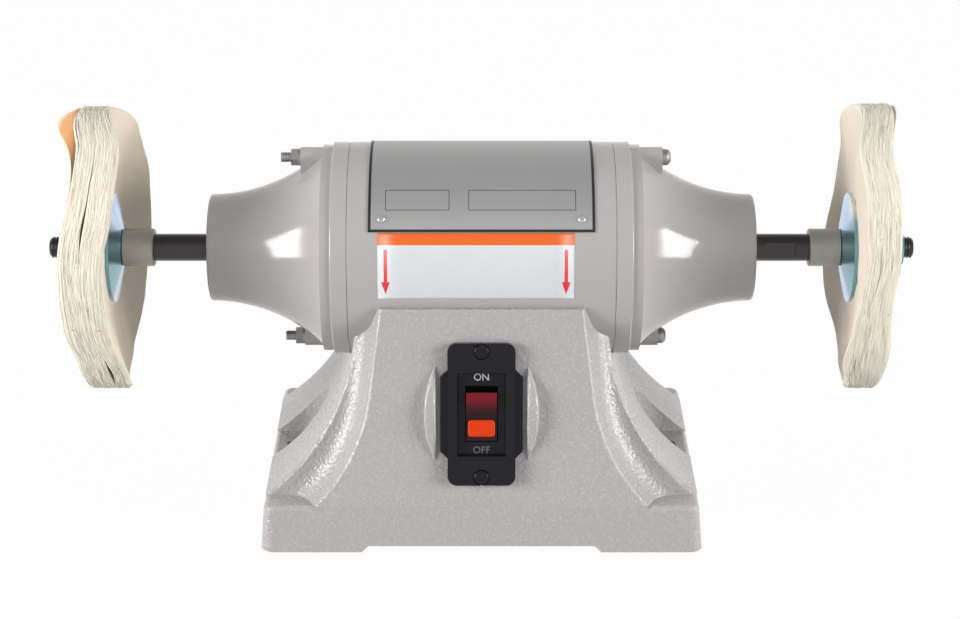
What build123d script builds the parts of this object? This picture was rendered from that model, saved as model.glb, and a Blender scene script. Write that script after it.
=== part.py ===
"""Bench buffer: a totally enclosed motor on a cast pedestal, with a cotton buffing wheel on each shaft end.

Millimetres. +X runs along the shaft to the right, +Y away from the operator and +Z up.
The origin is on the bench, under the middle of the machine.
"""

import math
import os

from build123d import *

# Fits
seat_clearance = 0.05
loose_clearance = 0.4

# Motor barrel
shaft_height = 144.0
barrel_radius = 58.0
barrel_wall = 2.5
barrel_half_length = 71.5
joint_edge = 0.5
plate_angle_front = 62.5
plate_angle_back = -42.0
plate_margin = 11.5
plate_thickness = 0.6
plate_rivet_inset = 7.0
plate_rivet_radius = 2.0
plate_rivet_height = 1.1

# End bells
bell_rim_width = 9.0
bell_step_width = 5.5
bell_step_drop = 1.5
bell_flare_drop = 2.7
bell_length = 77.0
bell_nose_radius = 29.3
bell_wall = 5.0
bell_spigot_length = 4.0
bell_spigot_wall = 6.0
bell_edge_round = 0.8
nose_edge_round = 1.5
shaft_hole_gap = 1.5

# Tie bolts that draw the bells onto the barrel
tie_circle_inset = 6.0
tie_bolt_radius = 2.5
tie_hole_gap = 0.25
tie_ear_length = 17.5
tie_ear_radius = 5.5
tie_ear_root = 1.5
tie_head_radius = 4.4
tie_head_height = 4.6
tie_nut_flats = 8.0
tie_nut_height = 4.0
tie_washer_radius = 4.6
tie_washer_height = 1.2
tie_thread_stand_out = 5.5

# Bearings, 15 x 35 x 11
bearing_width = 11.0
bearing_outer_radius = 17.5
bearing_setback = 21.5
bearing_mouth = 6.0
race_wall = 2.7
ball_radius = 3.0
ball_count = 8
ball_clearance = 0.06
cage_wall = 2.4
cage_width = 8.0
preload_gap = 1.2
preload_sheet = 0.5

# Stator and rotor
core_half_length = 25.0
stator_depth = 22.0
stator_slot_count = 12
stator_slot_width = 6.0
stator_slot_depth = 12.0
tie_notch_gap = 1.5
air_gap = 0.4
winding_length = 16.0
winding_bore_gap = 3.0
winding_tie_gap = 2.0
rotor_ring_length = 8.0
rotor_ring_wall = 12.0
rotor_blade_count = 8
rotor_blade_length = 7.0
rotor_blade_thickness = 2.0

# Shaft
rotor_seat_radius = 9.0
shaft_radius = 7.5
arbor_radius = 6.0
shoulder_reach = 31.0
arbor_stand_out = 5.9
arbor_thread_root = 5.4
arbor_chamfer = 1.0
wrench_flat_setback = 7.5
wrench_flat_length = 16.0
wrench_flat_across = 12.0

# Wheel mounting
collar_length = 17.5
collar_radius = 10.3
collar_edge = 0.6
flange_radius = 30.0
flange_hub_radius = 11.0
flange_dish = 4.0
flange_sheet = 2.0
nut_flats = 19.0
nut_height = 8.0

# Cotton buffing wheels, as packs of plies that fan out towards the rim. Each wheel has a lean of its own:
# how far its rim stands outboard of the hub on average, towards the top, towards the back, and as a saddle.
wheel_radius = 78.0
pack_count = 5
pack_thickness = 2.6
pack_gap = 0.25
pack_grip_radius = 34.0
right_fan = 1.4
right_lean = (0.0, 2.2, -2.2, 4.2)
left_fan = 2.2
left_lean = (-2.0, 4.5, 1.5, 0.0)
rim_ripple = 1.6
rim_ripple_lobes = 5
peel_reach = 7.0
peel_angle = 100.0
peel_spread = 32.0
wave_grid = 17

# Pedestal casting
foot_overhang = 47.8
foot_half_depth = 85.5
foot_height = 26.0
foot_draft = 5.0
foot_corner = 7.5
foot_edge_round = 3.0
face_inset = 17.6
face_drop = 14.0
face_flare_drop = 59.0
face_shelf = 29.8
face_stand_off = 1.0
flank_lean = 7.5
flank_draft = 22.0
sweep_inset = 5.5
sweep_flare_drop = 39.0
sweep_set_back_top = 16.3
sweep_set_back_bottom = 15.2
cove_radius = 13.0
casting_edge_round = 2.0
casting_wall = 7.0
foot_wall = 9.0
saddle_web = 8.0
arch_inset = 58.3
arch_height = 3.5
pocket_radius = 17.5
pocket_inset = 16.3
bolt_hole_inset = 13.3
bolt_hole_radius = 4.0
bolt_boss_radius = 11.0

# Base cover plate and its screws
cover_recess = 4.0
cover_sheet = 1.5
cover_gap = 0.5
cover_post_inset = 10.0
cover_post_radius = 5.0
small_screw_radius = 2.0
small_head_radius = 3.5
small_head_height = 2.2
small_screw_length = 9.0

# Screws that hold the barrel in the saddle
barrel_screw_inset = 19.5
barrel_screw_y = 20.0
barrel_screw_radius = 3.0
barrel_screw_head_flats = 10.0
barrel_screw_head_height = 4.0
barrel_boss_radius = 6.0
barrel_boss_depth = 6.0
lead_hole_inset = 31.5
lead_hole_y = 22.0
lead_hole_radius = 6.0

# Switch
switch_drop = 10.5
bezel_width = 36.2
bezel_height = 76.7
bezel_corner = 5.0
bezel_thickness = 4.5
wing_width = 44.0
wing_height = 56.0
wing_corner = 8.0
wing_thickness = 2.8
switch_body_width = 30.0
switch_body_height = 46.0
switch_body_depth = 22.0
well_width = 26.0
well_height = 45.0
well_depth = 3.5
well_slope = 12.0
rocker_width = 16.4
rocker_half_height = 13.5
rocker_slot_gap = 0.5
rocker_slot_half_height = 15.2
rocker_slot_depth = 12.0
rocker_pivot_depth = 5.0
rocker_dip = 2.8
rocker_crown = 3.6
rocker_root = 9.0
rocker_tilt = 8.0
trunnion_radius = 2.0
trunnion_length = 2.5
trunnion_clearance = 0.06
key_cap_width = 14.4
key_cap_height = 9.0
key_cap_thickness = 2.2
key_cap_edge = 0.8
key_stem_width = 8.0
key_stem_thickness = 3.0
key_stem_length = 6.0
key_gap = 0.15
terminal_width = 6.3
terminal_thickness = 0.8
terminal_length = 8.0
terminal_x = 8.0
terminal_y = 14.0
switch_screw_offset = 34.0
switch_screw_radius = 1.9
switch_head_radius = 4.0
switch_head_height = 1.9
switch_head_sink = 1.5
switch_screw_length = 10.0
ridge_offset = 27.5
ridge_width = 6.4
ridge_height = 5.0
ridge_chord = 54.0
ridge_round = 1.6
ridge_root = 3.0

# Capacitor and its clamp, on the cover plate
capacitor_radius = 17.5
capacitor_length = 62.0
capacitor_y = 22.0
capacitor_round = 2.0
clamp_sheet = 1.2
clamp_width = 12.0
clamp_tab = 10.0

# Cord grommet, in the rear wall
grommet_drop = 94.0
grommet_radius = 8.0
grommet_flange_radius = 11.0
grommet_flange_thickness = 3.0
grommet_bore_radius = 4.2
grommet_tail = 4.0
grommet_membrane = 2.0

# Worked out from the values above
foot_shrink = foot_height * math.tan(math.radians(foot_draft))
foot_half_length = barrel_half_length + foot_overhang
foot_top_x = foot_half_length - foot_shrink
foot_top_y = foot_half_depth - foot_shrink
face_half_top = barrel_half_length - face_inset
face_half_bottom = foot_half_length - face_shelf
face_top = shaft_height - face_drop
face_flare_start = shaft_height - face_flare_drop
face_depth_top = barrel_radius + face_stand_off
sweep_half_top = barrel_half_length - sweep_inset
sweep_flare_start = shaft_height - sweep_flare_drop
sweep_depth_top = face_depth_top - sweep_set_back_top
sweep_depth_bottom = foot_top_y - sweep_set_back_bottom
arch_half_length = foot_half_length - arch_inset
pocket_centre = foot_half_length - pocket_inset
bolt_hole_x = foot_half_length - bolt_hole_inset
switch_height = shaft_height - barrel_radius - switch_drop
grommet_height = shaft_height - grommet_drop
face_lean = math.degrees(math.atan2(foot_top_y - face_depth_top, face_top - foot_height))
barrel_bore = barrel_radius - barrel_wall
barrel_screw_x = barrel_half_length - barrel_screw_inset
lead_hole_x = barrel_half_length - lead_hole_inset
plate_half_width = barrel_half_length - plate_margin
bell_nose_end = barrel_half_length + bell_length
bell_flare_start = barrel_half_length + bell_rim_width + bell_step_width
bell_flare_width = bell_nose_end - bell_flare_start
bell_flare_edge = barrel_radius - bell_step_drop - bell_flare_drop
bell_flare_fall = bell_flare_edge - bell_nose_radius
bell_flare_radius = (bell_flare_width**2 + bell_flare_fall**2) / (2 * bell_flare_fall)
bell_flare_centre = bell_nose_radius + bell_flare_radius
bell_ear_end = barrel_half_length + bell_rim_width + tie_ear_length
tie_hole_radius = tie_bolt_radius + tie_hole_gap
tie_circle_radius = barrel_radius - tie_circle_inset
bearing_inboard = bell_nose_end - bearing_setback
bearing_outboard = bearing_inboard + bearing_width
bearing_middle = bearing_inboard + bearing_width / 2
inner_race_radius = shaft_radius + race_wall
outer_race_bore = bearing_outer_radius - race_wall
ball_pitch_radius = (inner_race_radius + outer_race_bore) / 2
stator_bore = barrel_bore - stator_depth
winding_inner_radius = stator_bore + winding_bore_gap
winding_outer_radius = tie_circle_radius - tie_bolt_radius - winding_tie_gap
rotor_radius = stator_bore - air_gap
shoulder_x = bell_nose_end + shoulder_reach
wrench_flat_start = bell_nose_end + wrench_flat_setback
collar_end = shoulder_x + collar_length
flange_depth = flange_dish + flange_sheet
wheel_inboard = collar_end + flange_depth + seat_clearance
pack_pitch = pack_thickness + pack_gap
wheel_outboard = wheel_inboard + pack_count * pack_pitch - pack_gap
outer_flange_end = wheel_outboard + seat_clearance + flange_depth
arbor_nut_end = outer_flange_end + nut_height
arbor_end = arbor_nut_end + arbor_stand_out
cover_top = cover_recess + cover_sheet
cavity_half_length = foot_half_length - foot_wall
cavity_half_depth = foot_half_depth - foot_wall
post_x = cavity_half_length - cover_post_inset
post_y = cavity_half_depth - cover_post_inset
barrel_seat_drop = math.sqrt((barrel_radius + saddle_web) ** 2 - barrel_screw_y**2)
screw_seat_z = shaft_height - barrel_seat_drop - loose_clearance
capacitor_z = cover_top + capacitor_radius + seat_clearance + clamp_sheet


def front_face_y(z):
    """How far the sloping front or rear face lies from the middle plane at height z."""
    return face_depth_top + (face_top - z) * math.tan(math.radians(face_lean))


def sloping_plane(z, side):
    """A work plane on the front (side -1) or rear (side 1) face, with its z axis pointing out of the casting."""
    lean = math.radians(face_lean)
    normal = (0, side * math.cos(lean), math.sin(lean))
    return Plane(origin=(0, side * front_face_y(z), z), x_dir=(-side, 0, 0), z_dir=normal)


switch_plane = sloping_plane(switch_height, -1)
grommet_plane = sloping_plane(grommet_height, 1)


def turned(*edges):
    """Turns a closed profile of X and radius about the shaft axis, at the shaft's height."""
    outline = edges[0]
    for edge in edges[1:]:
        outline = outline + edge
    return Pos(0, 0, shaft_height) * revolve(make_face(outline), Axis.X)


def ring(start, end, inner, outer):
    """A plain ring on the shaft axis between two X positions."""
    return turned(Polyline((start, inner), (end, inner), (end, outer), (start, outer), close=True))


def rod(start, end, radius, y=0.0, drop=0.0):
    """A round bar along X, offset from the shaft axis by y and by drop upwards."""
    bar = Rot(0, 90, 0) * Cylinder(radius, end - start)
    return Pos((start + end) / 2, y, shaft_height + drop) * bar


def upright(x, y, low, high, radius):
    """A round bar along Z between two heights."""
    return Pos(x, y, (low + high) / 2) * Cylinder(radius, high - low)


def mirrored(shape):
    """The same piece on the left of the machine."""
    return mirror(shape, about=Plane.YZ)


def hexagon_bar(start, end, flats, drop=0.0):
    """A hexagon bar along X, with two flats level."""
    section = RegularPolygon(flats / 2, 6, major_radius=False)
    return Pos(start, 0, shaft_height + drop) * extrude(Plane.YZ * section, end - start)


def flank(half_top, flare_start, top, half_bottom, bottom, lean):
    """One end of a casting block seen from the front: it leans out a little, then sweeps out to a wider bottom."""
    knee = half_top + (top - flare_start) * math.tan(math.radians(lean))
    inner = -half_top / 2
    crown = Polyline((inner, top), (half_top, top), (knee, flare_start))
    heading = (math.sin(math.radians(lean)), -math.cos(math.radians(lean)))
    flare = TangentArc((knee, flare_start), (half_bottom, bottom), tangent=heading)
    base = Polyline((half_bottom, bottom), (inner, bottom), (inner, top))
    return make_face(crown + flare + base)


def flared_block(half_top, flare_start, half_bottom, bottom):
    """A block with a sweeping flank at both ends, straight from front to back."""
    section = flank(half_top, flare_start, face_top, half_bottom, bottom, flank_lean)
    half = extrude(Plane.XZ * section, foot_half_depth, both=True)
    return half + mirrored(half)


def sloping_walls(depth_top, depth_bottom, bottom):
    """A long wedge whose front and rear faces lean inwards towards the top."""
    points = ((-depth_bottom, bottom), (depth_bottom, bottom), (depth_top, face_top), (-depth_top, face_top))
    return extrude(Plane.YZ * make_face(Polyline(*points, close=True)), foot_half_length, both=True)


def rising_edges(edges):
    """The edges that climb, which on these blocks are their corners."""
    return [edge for edge in edges if abs((edge @ 0).Z - (edge @ 1).Z) > casting_edge_round]


def face_block():
    """The front of the casting, whose flanks draw apart towards the back, with its two front corners rounded."""
    draft = math.tan(math.radians(flank_draft))
    knee = face_half_top + (face_top - face_flare_start) * math.tan(math.radians(flank_lean))
    edge_top = face_half_top - draft * (foot_top_y - face_depth_top)
    edge_knee = knee - draft * (foot_top_y - front_face_y(face_flare_start))
    lean = math.degrees(math.atan2(edge_knee - edge_top, face_top - face_flare_start))
    section = flank(edge_top, face_flare_start, face_top, face_half_bottom, foot_height, lean)
    reach = foot_top_y - sweep_depth_top + casting_edge_round
    heading = (math.sin(math.radians(flank_draft)), math.cos(math.radians(flank_draft)), 0)
    half = extrude(Plane.XZ.offset(foot_top_y) * section, reach / heading[1], dir=heading)
    block = (half + mirrored(half)).clean() & sloping_walls(face_depth_top, foot_top_y, foot_height)
    corners = [edge for edge in rising_edges(block.edges()) if on_front_face(edge) and abs(edge.center().X) > edge_top]
    return fillet(corners, casting_edge_round)


def on_front_face(edge):
    """True for an edge that lies in the sloping front face."""
    points = [edge @ share for share in (0, 0.5, 1)]
    return all(abs(point.Y + front_face_y(point.Z)) < seat_clearance for point in points)


def pedestal_shell():
    """The outside of the casting: a sloping front and rear, a wider block set back behind coves, and the foot."""
    sweep_block = flared_block(sweep_half_top, sweep_flare_start, foot_top_x, foot_height)
    sweep_block &= sloping_walls(sweep_depth_top, sweep_depth_bottom, foot_height)
    sweep_block = fillet(rising_edges(sweep_block.edges()), casting_edge_round)
    front = face_block()
    column = sweep_block + front
    column = fillet(rising_edges(new_edges(sweep_block, front, combined=column)), cove_radius)
    column &= Pos(0, -foot_half_depth, face_top / 2) * Box(2 * foot_half_length, 2 * foot_half_depth, face_top)
    column += mirror(column, about=Plane.XZ)
    plan = RectangleRounded(2 * foot_half_length, 2 * foot_half_depth, foot_corner)
    slab = extrude(plan, foot_height, taper=foot_draft)
    foot = fillet(slab.edges().group_by(Axis.Z)[-1], foot_edge_round)
    apron = slab & Pos(0, 0, foot_height / 2) * Box(2 * face_half_bottom, 2 * foot_half_depth, foot_height)
    return column + foot + apron


def switch_ridges():
    """Two ridges that guard the switch on the front face, straight towards it and bowed away from it."""
    half = ridge_chord / 2
    inner = -ridge_width / 2
    arc = ThreePointArc((-half, 0), (0, ridge_height), (half, 0))
    root = Polyline((half, 0), (half, -ridge_root), (-half, -ridge_root), (-half, 0))
    rise = extrude(Plane.YZ * make_face(arc + root), ridge_width, both=True)
    bow = ThreePointArc((inner, -half), (-inner, 0), (inner, half))
    plan = make_face(bow + Polyline((inner, half), (inner, -half)))
    ridge = rise & extrude(plan, 2 * ridge_height, both=True)
    crest = [edge for edge in ridge.edges() if edge.center().Z > ridge_height / 2]
    ridge = Pos(ridge_offset, 0, 0) * fillet(crest, ridge_round)
    return [switch_plane * ridge, switch_plane * mirrored(ridge)]


def pedestal_cavity():
    """The wiring space under the saddle, with the walls, posts and bosses that stand in it left out."""
    ceiling = foot_height - casting_wall
    face_space = flared_block(
        face_half_top - 2 * casting_wall, face_flare_start, face_half_bottom - casting_wall, ceiling
    ) & sloping_walls(face_depth_top - casting_wall, foot_top_y - casting_wall, ceiling)
    sweep_space = flared_block(
        sweep_half_top - casting_wall, sweep_flare_start, foot_top_x - 2 * casting_wall, ceiling
    ) & sloping_walls(sweep_depth_top - casting_wall, sweep_depth_bottom - casting_wall, ceiling)
    plan = RectangleRounded(2 * cavity_half_length, 2 * cavity_half_depth, foot_corner)
    space = face_space + sweep_space + extrude(plan, ceiling)
    space -= rod(-foot_half_length, foot_half_length, barrel_radius + saddle_web)
    for side in (-1, 1):
        liner = upright(side * pocket_centre, 0, ceiling, face_top, pocket_radius + casting_wall)
        space -= liner
        space -= upright(side * bolt_hole_x, 0, 0, ceiling, bolt_boss_radius)
        for end in (-1, 1):
            space -= upright(side * post_x, end * post_y, cover_top, ceiling, cover_post_radius)
    return space


def pedestal_base():
    """The cast stand: saddle, switch opening, bolt pockets, wiring space and the relieved foot."""
    body = pedestal_shell()
    for ridge in switch_ridges():
        body += ridge
    body -= pedestal_cavity()
    body -= rod(-foot_half_length, foot_half_length, barrel_radius + seat_clearance)
    arch = Polyline(
        (-arch_half_length - arch_height, 0), (arch_half_length + arch_height, 0),
        (arch_half_length, arch_height), (-arch_half_length, arch_height), close=True,
    )
    body -= extrude(Plane.XZ * make_face(arch), foot_half_depth, both=True)
    for side in (-1, 1):
        pocket_plan = Pos(side * pocket_centre, 0, foot_height) * Circle(pocket_radius)
        mouth_middle = pocket_centre + foot_half_length / 2
        mouth = Pos(side * mouth_middle, 0, foot_height) * Rectangle(foot_half_length, 2 * pocket_radius)
        body -= extrude(pocket_plan + mouth, face_top)
        body -= upright(side * bolt_hole_x, 0, 0, foot_height, bolt_hole_radius)
        for end in (-1, 1):
            pilot_top = cover_recess + small_screw_length
            body -= upright(side * post_x, end * post_y, cover_recess, pilot_top, small_screw_radius + seat_clearance)
            x, y = side * barrel_screw_x, end * barrel_screw_y
            body -= upright(x, y, screw_seat_z, shaft_height, barrel_screw_radius + loose_clearance)
            body -= upright(x, y, screw_seat_z - casting_wall, screw_seat_z, barrel_screw_head_flats)
    body -= upright(lead_hole_x, lead_hole_y, foot_height, shaft_height, lead_hole_radius)
    opening = Rectangle(switch_body_width + 2 * loose_clearance, switch_body_height + 2 * loose_clearance)
    body -= switch_plane * extrude(opening, 2 * casting_wall, both=True)
    for end in (-1, 1):
        hole = Cylinder(switch_screw_radius + seat_clearance, 4 * casting_wall)
        body -= switch_plane * Pos(0, end * switch_screw_offset, 0) * hole
    body -= grommet_plane * Cylinder(grommet_radius + seat_clearance, 4 * casting_wall)
    return body


def base_cover_plate():
    """The sheet that closes the wiring space, notched round the bolt bosses."""
    plan = RectangleRounded(
        2 * (cavity_half_length - cover_gap), 2 * (cavity_half_depth - cover_gap), foot_corner - cover_gap
    )
    plate = Pos(0, 0, cover_recess) * extrude(plan, cover_sheet)
    for side in (-1, 1):
        plate -= upright(side * bolt_hole_x, 0, 0, foot_height, bolt_boss_radius + cover_gap)
        notch = Rectangle(2 * (cavity_half_length - bolt_hole_x) + bolt_boss_radius, 2 * bolt_boss_radius)
        plate -= Pos(side * cavity_half_length, 0, 0) * extrude(notch, foot_height)
        for end in (-1, 1):
            plate -= upright(side * post_x, end * post_y, 0, foot_height, small_screw_radius + loose_clearance)
    for end in (-1, 1):
        y = capacitor_y + end * clamp_screw_offset()
        plate -= upright(0, y, 0, foot_height, small_screw_radius + seat_clearance)
    return plate


def clamp_screw_offset():
    """How far each clamp screw stands in front of or behind the capacitor's axis."""
    return capacitor_radius + clamp_sheet + clamp_tab / 2


def round_screw(x, y, seat, length, up):
    """A small round-headed screw whose head bears on the height seat; up is 1 if its shank points up."""
    head_middle = seat - up * small_head_height / 2
    head = Pos(x, y, head_middle) * Cylinder(small_head_radius, small_head_height)
    head = fillet(head.edges().group_by(Axis.Z)[0 if up > 0 else -1], small_head_height / 2)
    shank = Pos(x, y, seat + up * length / 2) * Cylinder(small_screw_radius, length)
    return head + shank


def cover_screws():
    """Four screws that hold the cover plate up against its posts."""
    places = [(side * post_x, end * post_y) for side in (-1, 1) for end in (-1, 1)]
    length = small_screw_length - loose_clearance
    return [round_screw(x, y, cover_recess, length, 1) for x, y in places]


def motor_barrel():
    """The barrel that holds the stator, with bosses inside for the screws from the saddle."""
    barrel = ring(-barrel_half_length, barrel_half_length, barrel_bore, barrel_radius)
    wall_drop = math.sqrt(barrel_bore**2 - barrel_screw_y**2)
    outer_drop = math.sqrt(barrel_radius**2 - barrel_screw_y**2)
    boss_top = shaft_height - wall_drop + barrel_boss_depth
    rims = [edge for edge in barrel.edges().filter_by(GeomType.CIRCLE) if edge.radius > barrel_bore + seat_clearance]
    barrel = chamfer(rims, joint_edge)
    inside = rod(-barrel_half_length, barrel_half_length, barrel_bore + barrel_wall / 2)
    for side in (-1, 1):
        for end in (-1, 1):
            x, y = side * barrel_screw_x, end * barrel_screw_y
            barrel += upright(x, y, shaft_height - outer_drop, boss_top, barrel_boss_radius) & inside
            barrel -= upright(x, y, 0, boss_top - loose_clearance, barrel_screw_radius + seat_clearance)
    barrel -= upright(lead_hole_x, lead_hole_y, 0, shaft_height, lead_hole_radius)
    return barrel


def barrel_screws():
    """Four hexagon-headed screws driven up from the wiring space into the barrel."""
    wall_drop = math.sqrt(barrel_bore**2 - barrel_screw_y**2)
    tip = shaft_height - wall_drop + barrel_boss_depth - 2 * loose_clearance
    section = RegularPolygon(barrel_screw_head_flats / 2, 6, major_radius=False)
    screws = []
    for side in (-1, 1):
        for end in (-1, 1):
            x, y = side * barrel_screw_x, end * barrel_screw_y
            head = Pos(x, y, screw_seat_z - barrel_screw_head_height) * extrude(section, barrel_screw_head_height)
            screws.append(head + upright(x, y, screw_seat_z, tip, barrel_screw_radius))
    return screws


def end_bell(preload):
    """The right end bell: rim, step, trumpet flare and nose, with the bearing seat deepened by preload."""
    rim_end = barrel_half_length + bell_rim_width
    rim_step = barrel_radius - bell_step_drop
    spigot_radius = barrel_bore - seat_clearance
    spigot_start = barrel_half_length - bell_spigot_length
    outside = Polyline(
        (spigot_start, 0), (spigot_start, spigot_radius), (barrel_half_length, spigot_radius),
        (barrel_half_length, barrel_radius - joint_edge), (barrel_half_length + joint_edge, barrel_radius),
        (rim_end, barrel_radius), (rim_end, rim_step),
        (bell_flare_start, rim_step), (bell_flare_start, bell_flare_edge),
    )
    flare = TangentArc((bell_nose_end, bell_nose_radius), (bell_flare_start, bell_flare_edge), tangent=(-1, 0))
    nose = Polyline((bell_nose_end, bell_nose_radius), (bell_nose_end, 0), (spigot_start, 0))
    bell = turned(outside, flare, nose)
    circles = bell.edges().filter_by(GeomType.CIRCLE)
    bell = fillet([edge for edge in circles if on_circle(edge, rim_end, barrel_radius)], bell_edge_round)
    circles = bell.edges().filter_by(GeomType.CIRCLE)
    bell = fillet([edge for edge in circles if on_circle(edge, bell_nose_end, bell_nose_radius)], nose_edge_round)
    ear_web = tie_circle_radius - bell_nose_radius
    ear_plan = Pos(0, tie_circle_radius) * Circle(tie_ear_radius)
    ear_plan += Pos(0, bell_nose_radius + ear_web / 2) * Rectangle(2 * tie_ear_radius, ear_web)
    ear = extrude(Plane.YZ * ear_plan, tie_ear_length + tie_ear_root)
    for turn in (0, 180):
        bell += Pos(rim_end - tie_ear_root, 0, shaft_height) * Rot(turn, 0, 0) * ear
    bell -= bell_space(preload)
    for turn in (1, -1):
        bell -= rod(spigot_start, bell_ear_end, tie_hole_radius, 0, turn * tie_circle_radius)
    return bell


def on_circle(edge, x, radius):
    """True for a full circle of this radius round the shaft axis at this X."""
    return abs(edge.center().X - x) < seat_clearance and abs(edge.radius - radius) < seat_clearance


def bell_space(preload):
    """What is hollow in an end bell: the motor space, the bearing seat and the hole for the shaft."""
    spigot_start = barrel_half_length - bell_spigot_length
    seat_end = bearing_outboard + preload
    mouth = bearing_inboard - bearing_mouth
    seat = bearing_outer_radius + seat_clearance
    inner_arc = bell_flare_radius + bell_wall
    flare_low = bell_flare_centre - math.sqrt(inner_arc**2 - (bell_nose_end - bell_flare_start) ** 2)
    flare_high = bell_flare_centre - math.sqrt(inner_arc**2 - (bell_nose_end - mouth) ** 2)
    middle = (bell_flare_start + mouth) / 2
    flare_middle = bell_flare_centre - math.sqrt(inner_arc**2 - (bell_nose_end - middle) ** 2)
    rim_bore = barrel_bore - bell_spigot_wall
    start = Polyline((spigot_start, 0), (spigot_start, rim_bore), (bell_flare_start, flare_low))
    flare = ThreePointArc((bell_flare_start, flare_low), (middle, flare_middle), (mouth, flare_high))
    rest = Polyline(
        (mouth, flare_high), (mouth, seat), (seat_end, seat), (seat_end, shaft_radius + shaft_hole_gap),
        (bell_nose_end, shaft_radius + shaft_hole_gap), (bell_nose_end, 0), (spigot_start, 0),
    )
    return turned(start, flare, rest)


def tie_bolts():
    """Two long bolts through both bells, with round heads on the right."""
    tip = -bell_ear_end - tie_washer_height - tie_nut_height - tie_thread_stand_out
    bolts = []
    for turn in (1, -1):
        drop = turn * tie_circle_radius
        head = rod(bell_ear_end, bell_ear_end + tie_head_height, tie_head_radius, 0, drop)
        head = fillet(head.edges().group_by(Axis.X)[-1], tie_head_height * 0.6)
        bolts.append(head + rod(tip, bell_ear_end, tie_bolt_radius, 0, drop))
    return bolts


def tie_bolt_washers():
    """The spring washers under the tie-bolt nuts."""
    start = -bell_ear_end - tie_washer_height
    hole = tie_bolt_radius + seat_clearance
    washers = []
    for turn in (1, -1):
        drop = turn * tie_circle_radius
        blank = rod(start, -bell_ear_end, tie_washer_radius, 0, drop)
        washers.append(blank - rod(start, -bell_ear_end, hole, 0, drop))
    return washers


def tie_bolt_nuts():
    """The hexagon nuts on the left ends of the tie bolts."""
    end = -bell_ear_end - tie_washer_height
    start = end - tie_nut_height
    hole = tie_bolt_radius + seat_clearance
    nuts = []
    for turn in (1, -1):
        drop = turn * tie_circle_radius
        nuts.append(hexagon_bar(start, end, tie_nut_flats, drop) - rod(start, end, hole, 0, drop))
    return nuts


def stator_core():
    """The lamination stack, slotted for the windings and notched for the tie bolts."""
    core = ring(-core_half_length, core_half_length, stator_bore, barrel_bore - seat_clearance)
    slot = Box(2 * core_half_length, stator_slot_width, 2 * stator_slot_depth)
    depth = stator_bore
    for count in range(stator_slot_count):
        turn = (count + 0.5) * 360 / stator_slot_count
        core -= Pos(0, 0, shaft_height) * Rot(turn, 0, 0) * Pos(0, 0, depth) * slot
    for turn in (1, -1):
        notch = tie_bolt_radius + tie_notch_gap
        core -= rod(-core_half_length, core_half_length, notch, 0, turn * tie_circle_radius)
    return core


def stator_windings():
    """The copper overhangs at both ends of the stator."""
    end = ring(core_half_length, core_half_length + winding_length, winding_inner_radius, winding_outer_radius)
    rounded = fillet(end.edges().group_by(Axis.X)[-1], (winding_outer_radius - winding_inner_radius) / 3)
    return [rounded, mirrored(rounded)]


def bearing_groove():
    """The round track that the balls run in."""
    track = Pos(bearing_middle, ball_pitch_radius) * Circle(ball_radius + ball_clearance)
    return Pos(0, 0, shaft_height) * revolve(track, Axis.X)


def bearing_inner_race():
    """The right bearing's inner ring, which turns with the shaft."""
    blank = ring(bearing_inboard, bearing_outboard, shaft_radius + seat_clearance, inner_race_radius)
    return blank - bearing_groove()


def bearing_outer_race():
    """The right bearing's outer ring, which sits in the bell."""
    blank = ring(bearing_inboard, bearing_outboard, outer_race_bore, bearing_outer_radius)
    return blank - bearing_groove()


def bearing_balls():
    """The right bearing's balls."""
    balls = []
    for count in range(ball_count):
        turn = Pos(bearing_middle, 0, shaft_height) * Rot(count * 360 / ball_count, 0, 0)
        balls.append(turn * Pos(0, 0, ball_pitch_radius) * Sphere(ball_radius))
    return balls


def bearing_cage():
    """The right bearing's cage, which spaces the balls and goes round with them."""
    low = ball_pitch_radius - cage_wall / 2
    cage = ring(bearing_middle - cage_width / 2, bearing_middle + cage_width / 2, low, low + cage_wall)
    for count in range(ball_count):
        turn = Pos(bearing_middle, 0, shaft_height) * Rot(count * 360 / ball_count, 0, 0)
        cage -= turn * Pos(0, 0, ball_pitch_radius) * Sphere(ball_radius + ball_clearance)
    return cage


def bearing_preload_washer():
    """The coned spring washer behind the left bearing, which takes up the shaft's end play."""
    rise = preload_gap - preload_sheet
    outer = bearing_outer_radius - loose_clearance
    inner = outer_race_bore
    washer = turned(
        Polyline(
            (bearing_outboard, outer), (bearing_outboard + preload_sheet, outer),
            (bearing_outboard + preload_gap, inner), (bearing_outboard + rise, inner), close=True,
        )
    )
    return mirrored(washer)


def nameplate():
    """The bare curved plate on the upper front of the barrel."""
    sheet = ring(-plate_half_width, plate_half_width, barrel_radius + seat_clearance, barrel_radius + plate_thickness)
    sector_radius = 2 * barrel_radius
    middle = (plate_angle_front + plate_angle_back) / 2
    half = (plate_angle_front - plate_angle_back) / 2
    edge_y = sector_radius * math.sin(math.radians(half))
    edge_z = sector_radius * math.cos(math.radians(half))
    wedge = make_face(Polyline((0, 0), (edge_y, edge_z), (-edge_y, edge_z), close=True))
    keep = extrude(Plane.YZ * wedge, plate_half_width, both=True)
    return sheet & (Pos(0, 0, shaft_height) * Rot(middle, 0, 0) * keep)


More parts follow.
